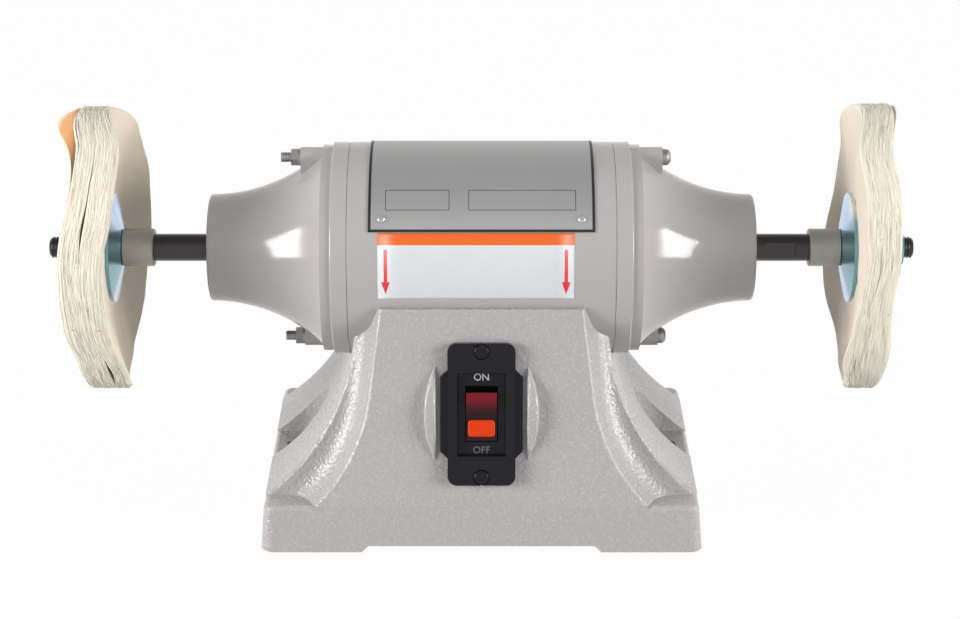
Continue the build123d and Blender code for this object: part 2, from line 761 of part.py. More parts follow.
def nameplate_rivets():
    """Four round-headed drive rivets at the corners of the nameplate."""
    inset = math.degrees(plate_rivet_inset / barrel_radius)
    surface = barrel_radius + plate_thickness
    head = Pos(0, 0, surface) * Cylinder(plate_rivet_radius, 2 * plate_rivet_height)
    head = fillet(head.edges().group_by(Axis.Z)[-1], plate_rivet_height * 0.8)
    head -= Rot(0, 90, 0) * Cylinder(surface + seat_clearance, 4 * plate_rivet_radius)
    rivets = []
    for angle in (plate_angle_front - inset, plate_angle_back + inset):
        for side in (-1, 1):
            place = Pos(side * (plate_half_width - plate_rivet_inset), 0, shaft_height)
            rivets.append(place * Rot(angle, 0, 0) * head)
    return rivets


def shaft():
    """The motor shaft: rotor seat, bearing seats, shoulders and the two arbors, with wrench flats on the right."""
    half = Polyline(
        (0, 0), (0, rotor_seat_radius), (bearing_inboard, rotor_seat_radius), (bearing_inboard, shaft_radius),
        (shoulder_x, shaft_radius), (shoulder_x, arbor_radius), (arbor_nut_end, arbor_radius),
        (arbor_nut_end, arbor_thread_root), (arbor_end - arbor_chamfer, arbor_thread_root),
        (arbor_end, arbor_thread_root - arbor_chamfer), (arbor_end, 0), close=True,
    )
    right = turned(half)
    bar = right + mirrored(right)
    reach = shaft_radius - wrench_flat_across / 2
    for side in (-1, 1):
        cut = Box(wrench_flat_length, reach, 2 * shaft_radius)
        place = Pos(wrench_flat_start + wrench_flat_length / 2, 0, shaft_height)
        bar -= place * Pos(0, side * (wrench_flat_across + reach) / 2, 0) * cut
    return bar


def rotor_core():
    """The rotor's lamination stack."""
    return ring(-core_half_length, core_half_length, rotor_seat_radius + seat_clearance, rotor_radius)


def rotor_cage():
    """The cast end rings of the rotor, with their fan blades."""
    inner = rotor_radius - rotor_ring_wall
    ring_end = core_half_length + rotor_ring_length
    right = ring(core_half_length, ring_end, inner, rotor_radius)
    blade = Box(rotor_blade_length, rotor_blade_thickness, rotor_ring_wall - rotor_blade_thickness)
    for count in range(rotor_blade_count):
        turn = Pos(ring_end + rotor_blade_length / 2, 0, shaft_height) * Rot(count * 360 / rotor_blade_count, 0, 0)
        right += turn * Pos(0, 0, inner + rotor_ring_wall / 2) * blade
    return [right, mirrored(right)]


def spacer_collar():
    """The right spacer collar, against the shaft's shoulder."""
    sleeve = ring(shoulder_x, collar_end, arbor_radius + seat_clearance, collar_radius)
    rims = [edge for edge in sleeve.edges().filter_by(GeomType.CIRCLE) if edge.radius > shaft_radius]
    return chamfer(rims, collar_edge)


def dished_flange(hub_face, outwards):
    """A dished wheel flange with its flat hub on hub_face and its rim towards outwards, 1 or -1 along X."""
    bore = arbor_radius + seat_clearance
    rim = hub_face + outwards * flange_dish
    sheet = outwards * flange_sheet
    points = (
        (hub_face, bore), (hub_face, flange_hub_radius), (rim, flange_radius),
        (rim + sheet, flange_radius), (hub_face + sheet, flange_hub_radius), (hub_face + sheet, bore),
    )
    return turned(Polyline(*points, close=True))


def ply_wave(pack, lean, fan, y, z):
    """How far outboard a pack of plies stands from its hub plane at a point of the wheel."""
    spread = max(0.0, math.hypot(y, z) - pack_grip_radius) / (wheel_radius - pack_grip_radius)
    angle = math.atan2(z, y)
    mean, up, back, saddle = lean
    wave = mean + up * math.sin(angle) + back * math.cos(angle) - saddle * math.cos(2 * angle)
    ripple = rim_ripple * math.sin(rim_ripple_lobes * angle + 1)
    return spread**1.5 * (wave + ripple + fan * (pack - (pack_count - 1) / 2))


def ply_peel(y, z):
    """How far the outermost pack of the left wheel has peeled away near the top of its rim."""
    spread = max(0.0, math.hypot(y, z) - pack_grip_radius) / (wheel_radius - pack_grip_radius)
    turn = math.degrees(math.atan2(z, y)) - peel_angle
    off = (turn + 180) % 360 - 180
    return peel_reach * spread**2 * math.exp(-((off / peel_spread) ** 2))


def ply_pack(pack, lean, fan, peeled):
    """One pack of cotton plies on the right wheel: a wavy disc, flat where the flanges grip it."""
    start = wheel_inboard + pack * pack_pitch
    step = 2.2 * wheel_radius / (wave_grid - 1)
    places = [-1.1 * wheel_radius + count * step for count in range(wave_grid)]
    rows = []
    for z in places:
        offsets = [ply_wave(pack, lean, fan, y, z) + (ply_peel(y, z) if peeled else 0.0) for y in places]
        rows.append([(start + offset, y, shaft_height + z) for offset, y in zip(offsets, places)])
    cloth = extrude(Face.make_surface_from_array_of_points(rows), pack_thickness, dir=(1, 0, 0))
    reach = wheel_radius / 2
    return cloth & ring(wheel_inboard - reach, wheel_outboard + reach, arbor_radius + loose_clearance, wheel_radius)


def right_wheel():
    """The right buffing wheel, as its packs of plies."""
    return [ply_pack(pack, right_lean, right_fan, False) for pack in range(pack_count)]


def left_wheel():
    """The left buffing wheel, which fans wider and has its outermost pack peeled away at the top."""
    last = pack_count - 1
    return [mirrored(ply_pack(pack, left_lean, left_fan, pack == last)) for pack in range(pack_count)]


def arbor_nut():
    """The right arbor nut, against the outer flange."""
    end = outer_flange_end + nut_height
    nut = hexagon_bar(outer_flange_end, end, nut_flats)
    nut &= turned(
        Polyline(
            (outer_flange_end, 0), (outer_flange_end, nut_flats), (end - nut_height / 4, nut_flats * 0.6),
            (end, nut_flats / 2), (end, 0), close=True,
        )
    )
    return nut - rod(outer_flange_end, end, arbor_radius + seat_clearance)


def switch_housing():
    """The switch: bezel, side wings and body, with a sloping well and a slot for the rocker."""
    bezel = extrude(RectangleRounded(bezel_width, bezel_height, bezel_corner), bezel_thickness)
    wings = extrude(chamfer(Rectangle(wing_width, wing_height).vertices(), wing_corner), wing_thickness)
    body = extrude(Rectangle(switch_body_width, switch_body_height), -switch_body_depth)
    housing = bezel + wings + body
    well_top = Pos(0, 0, bezel_thickness) * Rectangle(well_width, well_height)
    housing -= extrude(well_top, well_depth, dir=(0, 0, -1), taper=well_slope)
    slot = Rectangle(rocker_width + 2 * rocker_slot_gap, 2 * rocker_slot_half_height)
    housing -= Pos(0, 0, bezel_thickness) * extrude(slot, -(bezel_thickness + rocker_slot_depth))
    trunnion = Rot(0, 90, 0) * Cylinder(trunnion_radius + trunnion_clearance, rocker_width + 2 * trunnion_reach())
    housing -= Pos(0, 0, -rocker_pivot_depth) * trunnion
    for end in (-1, 1):
        place = Pos(0, end * switch_screw_offset, 0)
        sink = Cylinder(switch_head_radius + loose_clearance, 2 * switch_head_sink)
        housing -= place * Pos(0, 0, bezel_thickness) * sink
        housing -= place * Cylinder(switch_screw_radius + seat_clearance, 4 * bezel_thickness)
    return switch_plane * housing


def trunnion_reach():
    """How far the holes for the rocker's trunnions go into the housing past the rocker's sides."""
    return rocker_slot_gap + trunnion_length


def rocker_place():
    """Where the rocker sits at rest, tipped to the off side about its trunnions."""
    pivot = Pos(0, 0, -rocker_pivot_depth)
    return switch_plane * pivot * Rot(rocker_tilt, 0, 0) * Pos(0, 0, rocker_pivot_depth)


def key_place():
    """Where the key sits on the rocker's lower half, with its z axis square to that half."""
    slope = math.degrees(math.atan2(rocker_dip, rocker_half_height))
    middle = Pos(0, -rocker_half_height / 2, rocker_crown - rocker_dip / 2)
    return middle * Rot(-slope, 0, 0)


def switch_rocker():
    """The rocker paddle: two halves that meet in a shallow valley, and the trunnions that it tips on."""
    half, low = rocker_half_height, rocker_crown - rocker_dip
    points = (
        (-half, rocker_crown), (0, low), (half, rocker_crown), (0.8 * half, -rocker_pivot_depth + 1),
        (0.3 * half, -rocker_root), (-0.3 * half, -rocker_root), (-0.8 * half, -rocker_pivot_depth + 1),
    )
    paddle = extrude(Plane.YZ * make_face(Polyline(*points, close=True)), rocker_width / 2, both=True)
    pin = Rot(0, 90, 0) * Cylinder(trunnion_radius, rocker_width + 2 * trunnion_length)
    paddle += Pos(0, 0, -rocker_pivot_depth) * pin
    slot = Box(key_stem_width + 2 * key_gap, key_stem_thickness + 2 * key_gap, 2 * (key_stem_length + key_gap))
    paddle -= key_place() * slot
    return rocker_place() * paddle


def safety_key():
    """The lock-out key: a cap on the rocker's lower half and a stem that goes into it."""
    cap = Pos(0, 0, key_cap_thickness / 2) * Box(key_cap_width, key_cap_height, key_cap_thickness)
    cap = fillet(cap.edges().filter_by(Axis.Z), 2 * key_cap_edge)
    cap = fillet(cap.edges().group_by(Axis.Z)[-1], key_cap_edge)
    stem = Pos(0, 0, -key_stem_length / 2) * Box(key_stem_width, key_stem_thickness, key_stem_length)
    return rocker_place() * key_place() * Pos(0, 0, seat_clearance) * (cap + stem)


def switch_screws():
    """The two round-headed screws that hold the switch to the front face."""
    seat = bezel_thickness - switch_head_sink
    screws = []
    for end in (-1, 1):
        head = Pos(0, 0, seat + switch_head_height / 2) * Cylinder(switch_head_radius, switch_head_height)
        head = fillet(head.edges().group_by(Axis.Z)[-1], switch_head_height / 2)
        shank = Pos(0, 0, seat - switch_screw_length / 2) * Cylinder(switch_screw_radius, switch_screw_length)
        screws.append(switch_plane * Pos(0, end * switch_screw_offset, 0) * (head + shank))
    return screws


def switch_terminals():
    """Four blade terminals at the back of the switch."""
    blade = Box(terminal_width, terminal_thickness, terminal_length)
    depth = -switch_body_depth - terminal_length / 2
    places = [(side * terminal_x, end * terminal_y) for side in (-1, 1) for end in (-1, 1)]
    return [switch_plane * Pos(x, y, depth) * blade for x, y in places]


def capacitor():
    """The motor's run capacitor, lying along X on the cover plate."""
    can = Rot(0, 90, 0) * Cylinder(capacitor_radius, capacitor_length)
    can = fillet(can.edges().filter_by(GeomType.CIRCLE), capacitor_round)
    return Pos(0, capacitor_y, capacitor_z) * can


def capacitor_clamp():
    """The strap round the capacitor, with a tab on each side for its screw."""
    inner = capacitor_radius + seat_clearance
    band = Rot(0, 90, 0) * (Cylinder(inner + clamp_sheet, clamp_width) - Cylinder(inner, clamp_width))
    tab_depth = 2 * (clamp_screw_offset() + clamp_tab / 2)
    tab = Pos(0, 0, clamp_sheet / 2 - inner - clamp_sheet) * Box(clamp_width, tab_depth, clamp_sheet)
    tab -= Rot(0, 90, 0) * Cylinder(inner, clamp_width)
    for end in (-1, 1):
        tab -= upright(0, end * clamp_screw_offset(), -shaft_height, 0, small_screw_radius + seat_clearance)
    return Pos(0, capacitor_y, capacitor_z) * (band + tab)


def clamp_screws():
    """The two screws that hold the clamp down on the cover plate."""
    seat = cover_top + clamp_sheet
    length = clamp_sheet + cover_sheet
    return [round_screw(0, capacitor_y + end * clamp_screw_offset(), seat, length, -1) for end in (-1, 1)]


def cord_grommet():
    """The blind rubber grommet in the rear wall, where a supply cord would come out."""
    flange = extrude(Circle(grommet_flange_radius), grommet_flange_thickness)
    flange = fillet(flange.edges().group_by(Axis.Z)[-1], grommet_flange_thickness / 3)
    tail = casting_wall + grommet_tail
    body = extrude(Circle(grommet_radius), -tail)
    recess = Pos(0, 0, grommet_flange_thickness) * extrude(Circle(grommet_bore_radius), grommet_membrane - tail)
    return grommet_plane * (flange + body - recess)


def write(name, shape):
    """Writes one node, a solid or a list of solids, to its STEP file."""
    solids = shape if isinstance(shape, list) else [shape]
    pieces = [solid for item in solids for solid in item.solids()]
    export_step(pieces[0] if len(pieces) == 1 else Compound(children=pieces), f"parts/{name}.step")


def write_pair(name, shape):
    """Writes a right-hand piece and its mirror image on the left."""
    solids = shape if isinstance(shape, list) else [shape]
    write(f"right_{name}", solids)
    write(f"left_{name}", [mirrored(solid) for solid in solids])


def main():
    """Builds every piece and writes it to the parts folder."""
    os.makedirs("parts", exist_ok=True)
    write("pedestal_base", pedestal_base())
    write("base_cover_plate", base_cover_plate())
    write("cover_screws", cover_screws())
    write("motor_barrel", motor_barrel())
    write("barrel_screws", barrel_screws())
    write("right_end_bell", end_bell(0))
    write("left_end_bell", mirrored(end_bell(preload_gap)))
    write("tie_bolts", tie_bolts())
    write("tie_bolt_washers", tie_bolt_washers())
    write("tie_bolt_nuts", tie_bolt_nuts())
    write("stator_core", stator_core())
    write("stator_windings", stator_windings())
    write("bearing_preload_washer", bearing_preload_washer())
    write("nameplate", nameplate())
    write("nameplate_rivets", nameplate_rivets())
    write("shaft", shaft())
    write("rotor_core", rotor_core())
    write("rotor_cage", rotor_cage())
    write_pair("bearing_outer_race", bearing_outer_race())
    write_pair("bearing_inner_race", bearing_inner_race())
    write_pair("bearing_balls", bearing_balls())
    write_pair("bearing_cage", bearing_cage())
    write_pair("spacer_collar", spacer_collar())
    write_pair("inner_flange", dished_flange(collar_end, 1))
    write("right_buffing_wheel", right_wheel())
    write("left_buffing_wheel", left_wheel())
    write_pair("outer_flange", dished_flange(outer_flange_end, -1))
    write_pair("arbor_nut", arbor_nut())
    write("switch_housing", switch_housing())
    write("switch_screws", switch_screws())
    write("switch_terminals", switch_terminals())
    write("switch_rocker", switch_rocker())
    write("safety_key", safety_key())
    write("capacitor", capacitor())
    write("capacitor_clamp", capacitor_clamp())
    write("clamp_screws", clamp_screws())
    write("cord_grommet", cord_grommet())


main()
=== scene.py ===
"""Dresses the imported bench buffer: paint, metals, cotton wheels, threads, lettering, studio and camera."""

import logging
import math
from dataclasses import dataclass
from enum import Enum
from typing import Any, Iterable, Sequence, Union

import bpy
import numpy as np
from bpy.types import ID, ColorRamp, Material, Mesh, NodeSocket, NodeTree, Object
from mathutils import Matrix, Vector
from mathutils.bvhtree import BVHTree


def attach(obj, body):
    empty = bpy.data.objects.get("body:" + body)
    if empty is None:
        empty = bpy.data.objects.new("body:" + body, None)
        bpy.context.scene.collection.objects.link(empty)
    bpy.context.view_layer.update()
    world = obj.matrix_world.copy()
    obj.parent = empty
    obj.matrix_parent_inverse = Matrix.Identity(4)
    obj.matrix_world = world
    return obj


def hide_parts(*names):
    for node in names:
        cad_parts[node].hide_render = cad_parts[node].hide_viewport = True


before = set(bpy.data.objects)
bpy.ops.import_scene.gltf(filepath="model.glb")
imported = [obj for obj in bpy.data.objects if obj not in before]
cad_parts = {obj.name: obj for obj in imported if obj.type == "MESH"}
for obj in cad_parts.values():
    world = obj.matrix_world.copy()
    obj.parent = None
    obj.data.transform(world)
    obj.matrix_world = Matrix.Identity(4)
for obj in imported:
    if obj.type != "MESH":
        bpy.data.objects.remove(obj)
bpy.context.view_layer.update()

LOG = logging.getLogger("bench_buffer")
MM = 0.001
SHAFT_HEIGHT = 144.0 * MM
CAPITAL_SHARE = 0.69  # the height of a capital letter in the built-in font, at size 1

Colour = tuple[float, float, float]
Operand = Union["Signal", float]
Stops = tuple[tuple[float, Colour], ...]


class Side(Enum):
    """The end of the machine that a piece is on, with its sign along X."""

    LEFT = -1
    RIGHT = 1

    def named(self, piece: str) -> str:
        """The name of this side's copy of a piece."""
        return f"{self.name.lower()}_{piece}"


class Signal:
    """A shader socket that takes part in arithmetic, each step of which adds a Math node."""

    def __init__(self, recipe: "Recipe", socket: NodeSocket) -> None:
        """Wraps one output socket of a material."""
        self.recipe = recipe
        self.socket = socket

    def math(self, operation: str, *others: Operand) -> "Signal":
        """The result of one Math node that has this signal as its first value."""
        return self.recipe.node("ShaderNodeMath", {"operation": operation}, dict(enumerate((self, *others))))

    def __add__(self, other: Operand) -> "Signal":
        """This signal plus another."""
        return self.math("ADD", other)

    __radd__ = __add__

    def __mul__(self, other: Operand) -> "Signal":
        """This signal times another."""
        return self.math("MULTIPLY", other)

    def __sub__(self, other: Operand) -> "Signal":
        """This signal less another."""
        return self.math("SUBTRACT", other)

    def __rsub__(self, other: float) -> "Signal":
        """A number less this signal."""
        return self.recipe.node("ShaderNodeMath", {"operation": "SUBTRACT"}, {0: other, 1: self})

    def __truediv__(self, other: Operand) -> "Signal":
        """This signal over another."""
        return self.math("DIVIDE", other)

    def __abs__(self) -> "Signal":
        """This signal without its sign."""
        return self.math("ABSOLUTE")

    def above(self, edge: float, width: float) -> "Signal":
        """A soft step that goes from 0 to 1 over a width centred on an edge."""
        inputs = {"Value": self, "From Min": edge - width / 2, "From Max": edge + width / 2}
        return self.recipe.node("ShaderNodeMapRange", {"interpolation_type": "SMOOTHSTEP"}, inputs)


Value = Union[Signal, NodeSocket, Material, float, Sequence[float]]
Settings = dict[str, Any]
Inputs = dict[Any, Value]


class Wiring:
    """A node tree that nodes are added to one by one, each with its settings and inputs."""

    def __init__(self, tree: NodeTree) -> None:
        """Takes up a tree."""
        self.tree = tree

    def add(
        self, kind: str, settings: Settings | None = None, inputs: Inputs | None = None, out: Any = 0
    ) -> NodeSocket:
        """Adds one node.

        Args:
            kind: The node's type.
            settings: Its own settings, which are set first.
            inputs: The value or link of each input, by identifier, name or number.
            out: The output that is wanted, by identifier, name or number.

        Returns:
            That output.
        """
        made = self.tree.nodes.new(kind)
        for key, value in (settings or {}).items():
            if key == "stops":
                self.set_stops(made.color_ramp, value)
            else:
                setattr(made, key, value)
        for key, value in (inputs or {}).items():
            self.feed(self.find(made.inputs, key), value)
        return self.find(made.outputs, out)

    @staticmethod
    def set_stops(ramp: ColorRamp, stops: Stops) -> None:
        """Gives a ramp its stops.

        Args:
            ramp: The ramp, with the two stops that Blender makes.
            stops: The place and colour of each stop.
        """
        while len(ramp.elements) < len(stops):
            ramp.elements.new(1.0)
        for element, (place, colour) in zip(ramp.elements, stops):
            element.position = place
            element.color = (*colour, 1.0)

    @staticmethod
    def find(sockets: Any, key: Any) -> NodeSocket:
        """One of a node's inputs or outputs, by number, identifier or name."""
        identified = {socket.identifier: socket for socket in sockets}
        return identified[key] if key in identified else sockets[key]

    def feed(self, socket: NodeSocket, value: Value) -> None:
        """Links a signal or socket to an input, or sets the input's own value.

        Args:
            socket: The input socket.
            value: A signal, a socket, a number, a material, or a colour or vector.
        """
        if isinstance(value, Signal):
            value = value.socket
        if isinstance(value, NodeSocket):
            self.tree.links.new(value, socket)
        elif socket.type == "RGBA":
            socket.default_value = (*value[:3], 1.0)
        else:
            socket.default_value = value


class Recipe(Wiring):
    """One node material, built from its Principled shader backwards."""

    def __init__(self, name: str) -> None:
        """Starts an empty material.

        Args:
            name: The material's name.
        """
        self.material = bpy.data.materials.new(name)
        self.material.use_nodes = True
        super().__init__(self.material.node_tree)
        self.tree.nodes.clear()
        self.shader = self.tree.nodes.new("ShaderNodeBsdfPrincipled")
        self.output = self.tree.nodes.new("ShaderNodeOutputMaterial")
        self.tree.links.new(self.shader.outputs[0], self.output.inputs[0])

    def node(
        self, kind: str, settings: Settings | None = None, inputs: Inputs | None = None, out: Any = 0
    ) -> Signal:
        """Adds one node, as add does, and gives its output as a signal."""
        return Signal(self, self.add(kind, settings, inputs, out))

    def place(self) -> Signal:
        """The point in the part's frame, in metres."""
        return self.node("ShaderNodeTexCoord", out="Object")

    def scaled(self, scale: Sequence[float]) -> Signal:
        """The point in the part's frame, scaled along each axis."""
        return self.node("ShaderNodeMapping", inputs={"Vector": self.place(), "Scale": scale})

    def axes(self) -> tuple[Signal, Signal, Signal]:
        """The point's X, Y and Z in the part's frame, each as a signal."""
        split = self.add("ShaderNodeSeparateXYZ", inputs={0: self.place()})
        return tuple(Signal(self, socket) for socket in split.node.outputs)

    def about_shaft(self) -> tuple[Signal, Signal, Signal, Signal]:
        """The point as seen from the shaft.

        Returns:
            Its X, its Y and rise from the shaft's axis, and its distance from that axis.
        """
        x, y, z = self.axes()
        rise = z - SHAFT_HEIGHT
        return x, y, rise, (y * y + rise * rise).math("SQRT")

    def round_barrel(self, radius: float) -> tuple[Signal, Signal]:
        """The point's X, and its place round a barrel from the top towards the front.

        Args:
            radius: The radius at which that place is measured.

        Returns:
            The two places, in metres.
        """
        x, y, z = self.axes()
        angle = self.node("ShaderNodeMath", {"operation": "ARCTAN2"}, {0: 0 - y, 1: z - SHAFT_HEIGHT})
        return x, angle * radius

    def noise(self, vector: Signal, scale: float, detail: float, roughness: float = 0.5) -> Signal:
        """Smooth noise from 0 to 1, with so many waves to a unit, and finer layers of a given strength."""
        inputs = {"Vector": vector, "Scale": scale, "Detail": detail, "Roughness": roughness}
        return self.node("ShaderNodeTexNoise", inputs=inputs, out="Fac")

    def around(self, middle: float, *changes: tuple[Signal, float]) -> Signal:
        """A value about a middle, changed by each signal by so much over its full range."""
        low = middle - sum(width for _, width in changes) / 2
        return sum((signal * width for signal, width in changes), low)

    def blend(self, factor: Value, low: Value, high: Value) -> Signal:
        """A mixed colour, the first one where the factor is 0 and the second where it is 1."""
        inputs = {"Factor_Float": factor, "A_Color": low, "B_Color": high}
        return self.node("ShaderNodeMix", {"data_type": "RGBA"}, inputs, out="Result_Color")

    def mottled(self, factor: Value, colour: Colour, tints: Sequence[float]) -> Signal:
        """A colour that goes from one tint of itself to another as the factor goes from 0 to 1."""
        return self.blend(factor, *(tinted(colour, tint) for tint in tints))

    def bump(self, height: Signal, depth: float, strength: float, under: Signal | None = None) -> Signal:
        """A normal that is tilted by a height.

        Args:
            height: The height, from 0 to 1.
            depth: How deep the height is, in metres.
            strength: How much of it shows.
            under: Another bump that this one lies on.

        Returns:
            The normal.
        """
        inputs: Inputs = {"Height": height, "Distance": depth, "Strength": strength}
        if under is not None:
            inputs["Normal"] = under
        return self.node("ShaderNodeBump", inputs=inputs, out="Normal")

    def finish(self, **sockets: Value) -> Material:
        """Sets the shader's sockets, with spaces written as underscores, and gives the material.

        Args:
            sockets: The value or link of each socket.

        Returns:
            The finished material.
        """
        for key, value in sockets.items():
            self.feed(self.shader.inputs[key.replace("_", " ")], value)
        return self.material


def tinted(colour: Colour, factor: float) -> Colour:
    """A colour made lighter or darker by a factor, held at white."""
    return tuple(min(1.0, channel * factor) for channel in colour)


@dataclass(frozen=True)
class Surface:
    """A finish whose colour drifts in soft clouds, over a fine grain that tilts the light."""

    name: str
    colour: Colour
    roughness: float = 0.3
    grain: Sequence[float] = (1400.0,) * 3
    grain_layers: Sequence[float] = (2.0, 0.5)
    grain_depth: float = 0.00003
    grain_strength: float = 0.4
    grain_dulling: float = 0.0
    clouds: Sequence[float] = (60.0, 4.0)
    cloud_dulling: float = 0.14
    tints: Sequence[float] = (0.86, 1.14)
    metallic: float = 0.0
    specular: float = 0.5

    def material(self) -> Material:
        """Builds the finish."""
        recipe = Recipe(self.name)
        cloud = recipe.noise(recipe.place(), *self.clouds)
        grain = recipe.noise(recipe.scaled(self.grain), 1.0, *self.grain_layers)
        return recipe.finish(
            Base_Color=self.shade(recipe, cloud),
            Roughness=recipe.around(self.roughness, (cloud, self.cloud_dulling), (grain, self.grain_dulling)),
            Metallic=self.metallic,
            Normal=recipe.bump(grain, self.grain_depth, self.grain_strength),
            Specular_IOR_Level=self.specular,
        )

    def shade(self, recipe: Recipe, cloud: Signal) -> Signal:
        """The colour, tinted by the clouds."""
        return recipe.mottled(cloud, self.colour, self.tints)


@dataclass(frozen=True)
class GlossPaint(Surface):
    """Smooth sprayed enamel with a faint orange peel."""

    roughness: float = 0.13
    grain: Sequence[float] = (420.0,) * 3
    grain_layers: Sequence[float] = (1.0, 0.5)
    grain_depth: float = 0.00008
    grain_strength: float = 0.35
    clouds: Sequence[float] = (18.0, 3.0)
    cloud_dulling: float = 0.08
    tints: Sequence[float] = (0.97, 1.03)
    specular: float = 0.6


@dataclass(frozen=True)
class TurnedMetal(Surface):
    """Bare metal with faint stains, and fine marks that run round the shaft axis or along it."""

    grain: Sequence[float] = (2600.0, 30.0, 30.0)
    grain_layers: Sequence[float] = (3.0, 0.6)
    grain_depth: float = 0.00002
    grain_strength: float = 0.6
    grain_dulling: float = 0.16
    clouds: Sequence[float] = (90.0, 4.0)
    cloud_dulling: float = 0.1
    tints: Sequence[float] = (0.8, 1.1)
    metallic: float = 1.0


@dataclass(frozen=True)
class ZincPlate(Surface):
    """Zinc under a blue, violet and straw film, with a painted reflection: the film shows on the top and
    bottom quarters, and painted shade in its own colour covers the front and back quarters.
    """

    roughness: float = 0.24
    grain: Sequence[float] = (900.0,) * 3
    grain_layers: Sequence[float] = (3.0, 0.5)
    grain_depth: float = 0.00002
    grain_dulling: float = 0.14
    clouds: Sequence[float] = (26.0, 2.0, 0.45)
    cloud_dulling: float = 0.0
    metallic: float = 1.0
    bands: float = 9.0
    film: Stops = (
        (0.0, (0.52, 0.78, 0.84)), (0.25, (0.20, 0.66, 0.78)), (0.45, (0.66, 0.88, 0.94)),
        (0.65, (0.42, 0.58, 0.82)), (0.82, (0.80, 0.80, 0.70)), (1.0, (0.52, 0.78, 0.84)),
    )
    painted_reflection_edge: float = 0.22
    painted_reflection_fade: float = 0.8

    def shade(self, recipe: Recipe, cloud: Signal) -> Signal:
        """The film's colours in rings that the clouds bend, with painted shade on the front and back
        quarters.

        Args:
            recipe: The material.
            cloud: The clouds.

        Returns:
            The colour.
        """
        _, y, rise, radius = recipe.about_shaft()
        place = (cloud + radius * self.bands).math("FRACT")
        film = recipe.node("ShaderNodeValToRGB", {"stops": self.film}, {"Fac": place}, out="Color")
        # Painted reflection of a turned disc: 1 on the top and bottom quarters, where the film shows, and 0
        # on the front and back, where the painted shade colour goes.
        painted_reflection = (rise * rise - y * y) / (radius * radius)
        return recipe.blend(painted_reflection.above(self.painted_reflection_edge, self.painted_reflection_fade), self.colour, film)


@dataclass(frozen=True)
class Moulding(Surface):
    """Moulded plastic or rubber with a little handling shine, and painted shade below a given height where
    one is given.
    """

    painted_shade: Colour | None = None
    painted_shade_below: float = 0.0
    painted_shade_fade: float = 9.0 * MM

    def shade(self, recipe: Recipe, cloud: Signal) -> Signal:
        """The colour, tinted by wear, with the painted shade colour below its height.

        Args:
            recipe: The material.
            cloud: The wear.

        Returns:
            The colour.
        """
        colour = super().shade(recipe, cloud)
        if self.painted_shade is None:
            return colour
        # Painted shade: the colour turns to the painted shade colour below the given height.
        height = recipe.axes()[2]
        return recipe.blend(height.above(self.painted_shade_below, self.painted_shade_fade), self.painted_shade, colour)


@dataclass(frozen=True)
class PebbledPaint:
    """Enamel over a sand casting, which dries in fine pebbles that catch the light one by one."""

    name: str
    colour: Colour
    tints: Sequence[float] = (0.94, 1.05)
    clouds: Sequence[float] = (12.0, 4.0)
    cloud_share: float = 0.25
    roughness: float = 0.2
    roughness_range: float = 0.16
    swells: Sequence[float] = (130.0, 2.0)
    swell_height: float = 0.4
    pebbles: Sequence[float] = (640.0, 2.0, 0.6)
    pebble_height: float = 0.5
    pebble_from: float = 0.5
    pebble_edge: float = 0.34
    dimple_scale: float = 448.0
    dimple_height: float = 0.6
    dimple_smoothness: float = 0.5
    relief_depth: float = 0.00034
    relief_strength: float = 0.9
    specular: float = 0.7

    def material(self) -> Material:
        """Builds the paint."""
        recipe = Recipe(self.name)
        cloud = recipe.noise(recipe.place(), *self.clouds)
        swell = recipe.noise(recipe.place(), *self.swells)
        pebbles = recipe.noise(recipe.place(), *self.pebbles).above(self.pebble_from, self.pebble_edge)
        cells = {"Vector": recipe.place(), "Scale": self.dimple_scale, "Smoothness": self.dimple_smoothness}
        dimples = recipe.node("ShaderNodeTexVoronoi", {"feature": "SMOOTH_F1"}, cells, out="Distance")
        height = pebbles * self.pebble_height + dimples * self.dimple_height + swell * self.swell_height
        shade = cloud * self.cloud_share + pebbles * (1 - self.cloud_share)
        return recipe.finish(
            Base_Color=recipe.mottled(shade, self.colour, self.tints),
            Roughness=recipe.around(self.roughness, (pebbles, self.roughness_range)),
            Normal=recipe.bump(height, self.relief_depth, self.relief_strength),
            Specular_IOR_Level=self.specular,
        )


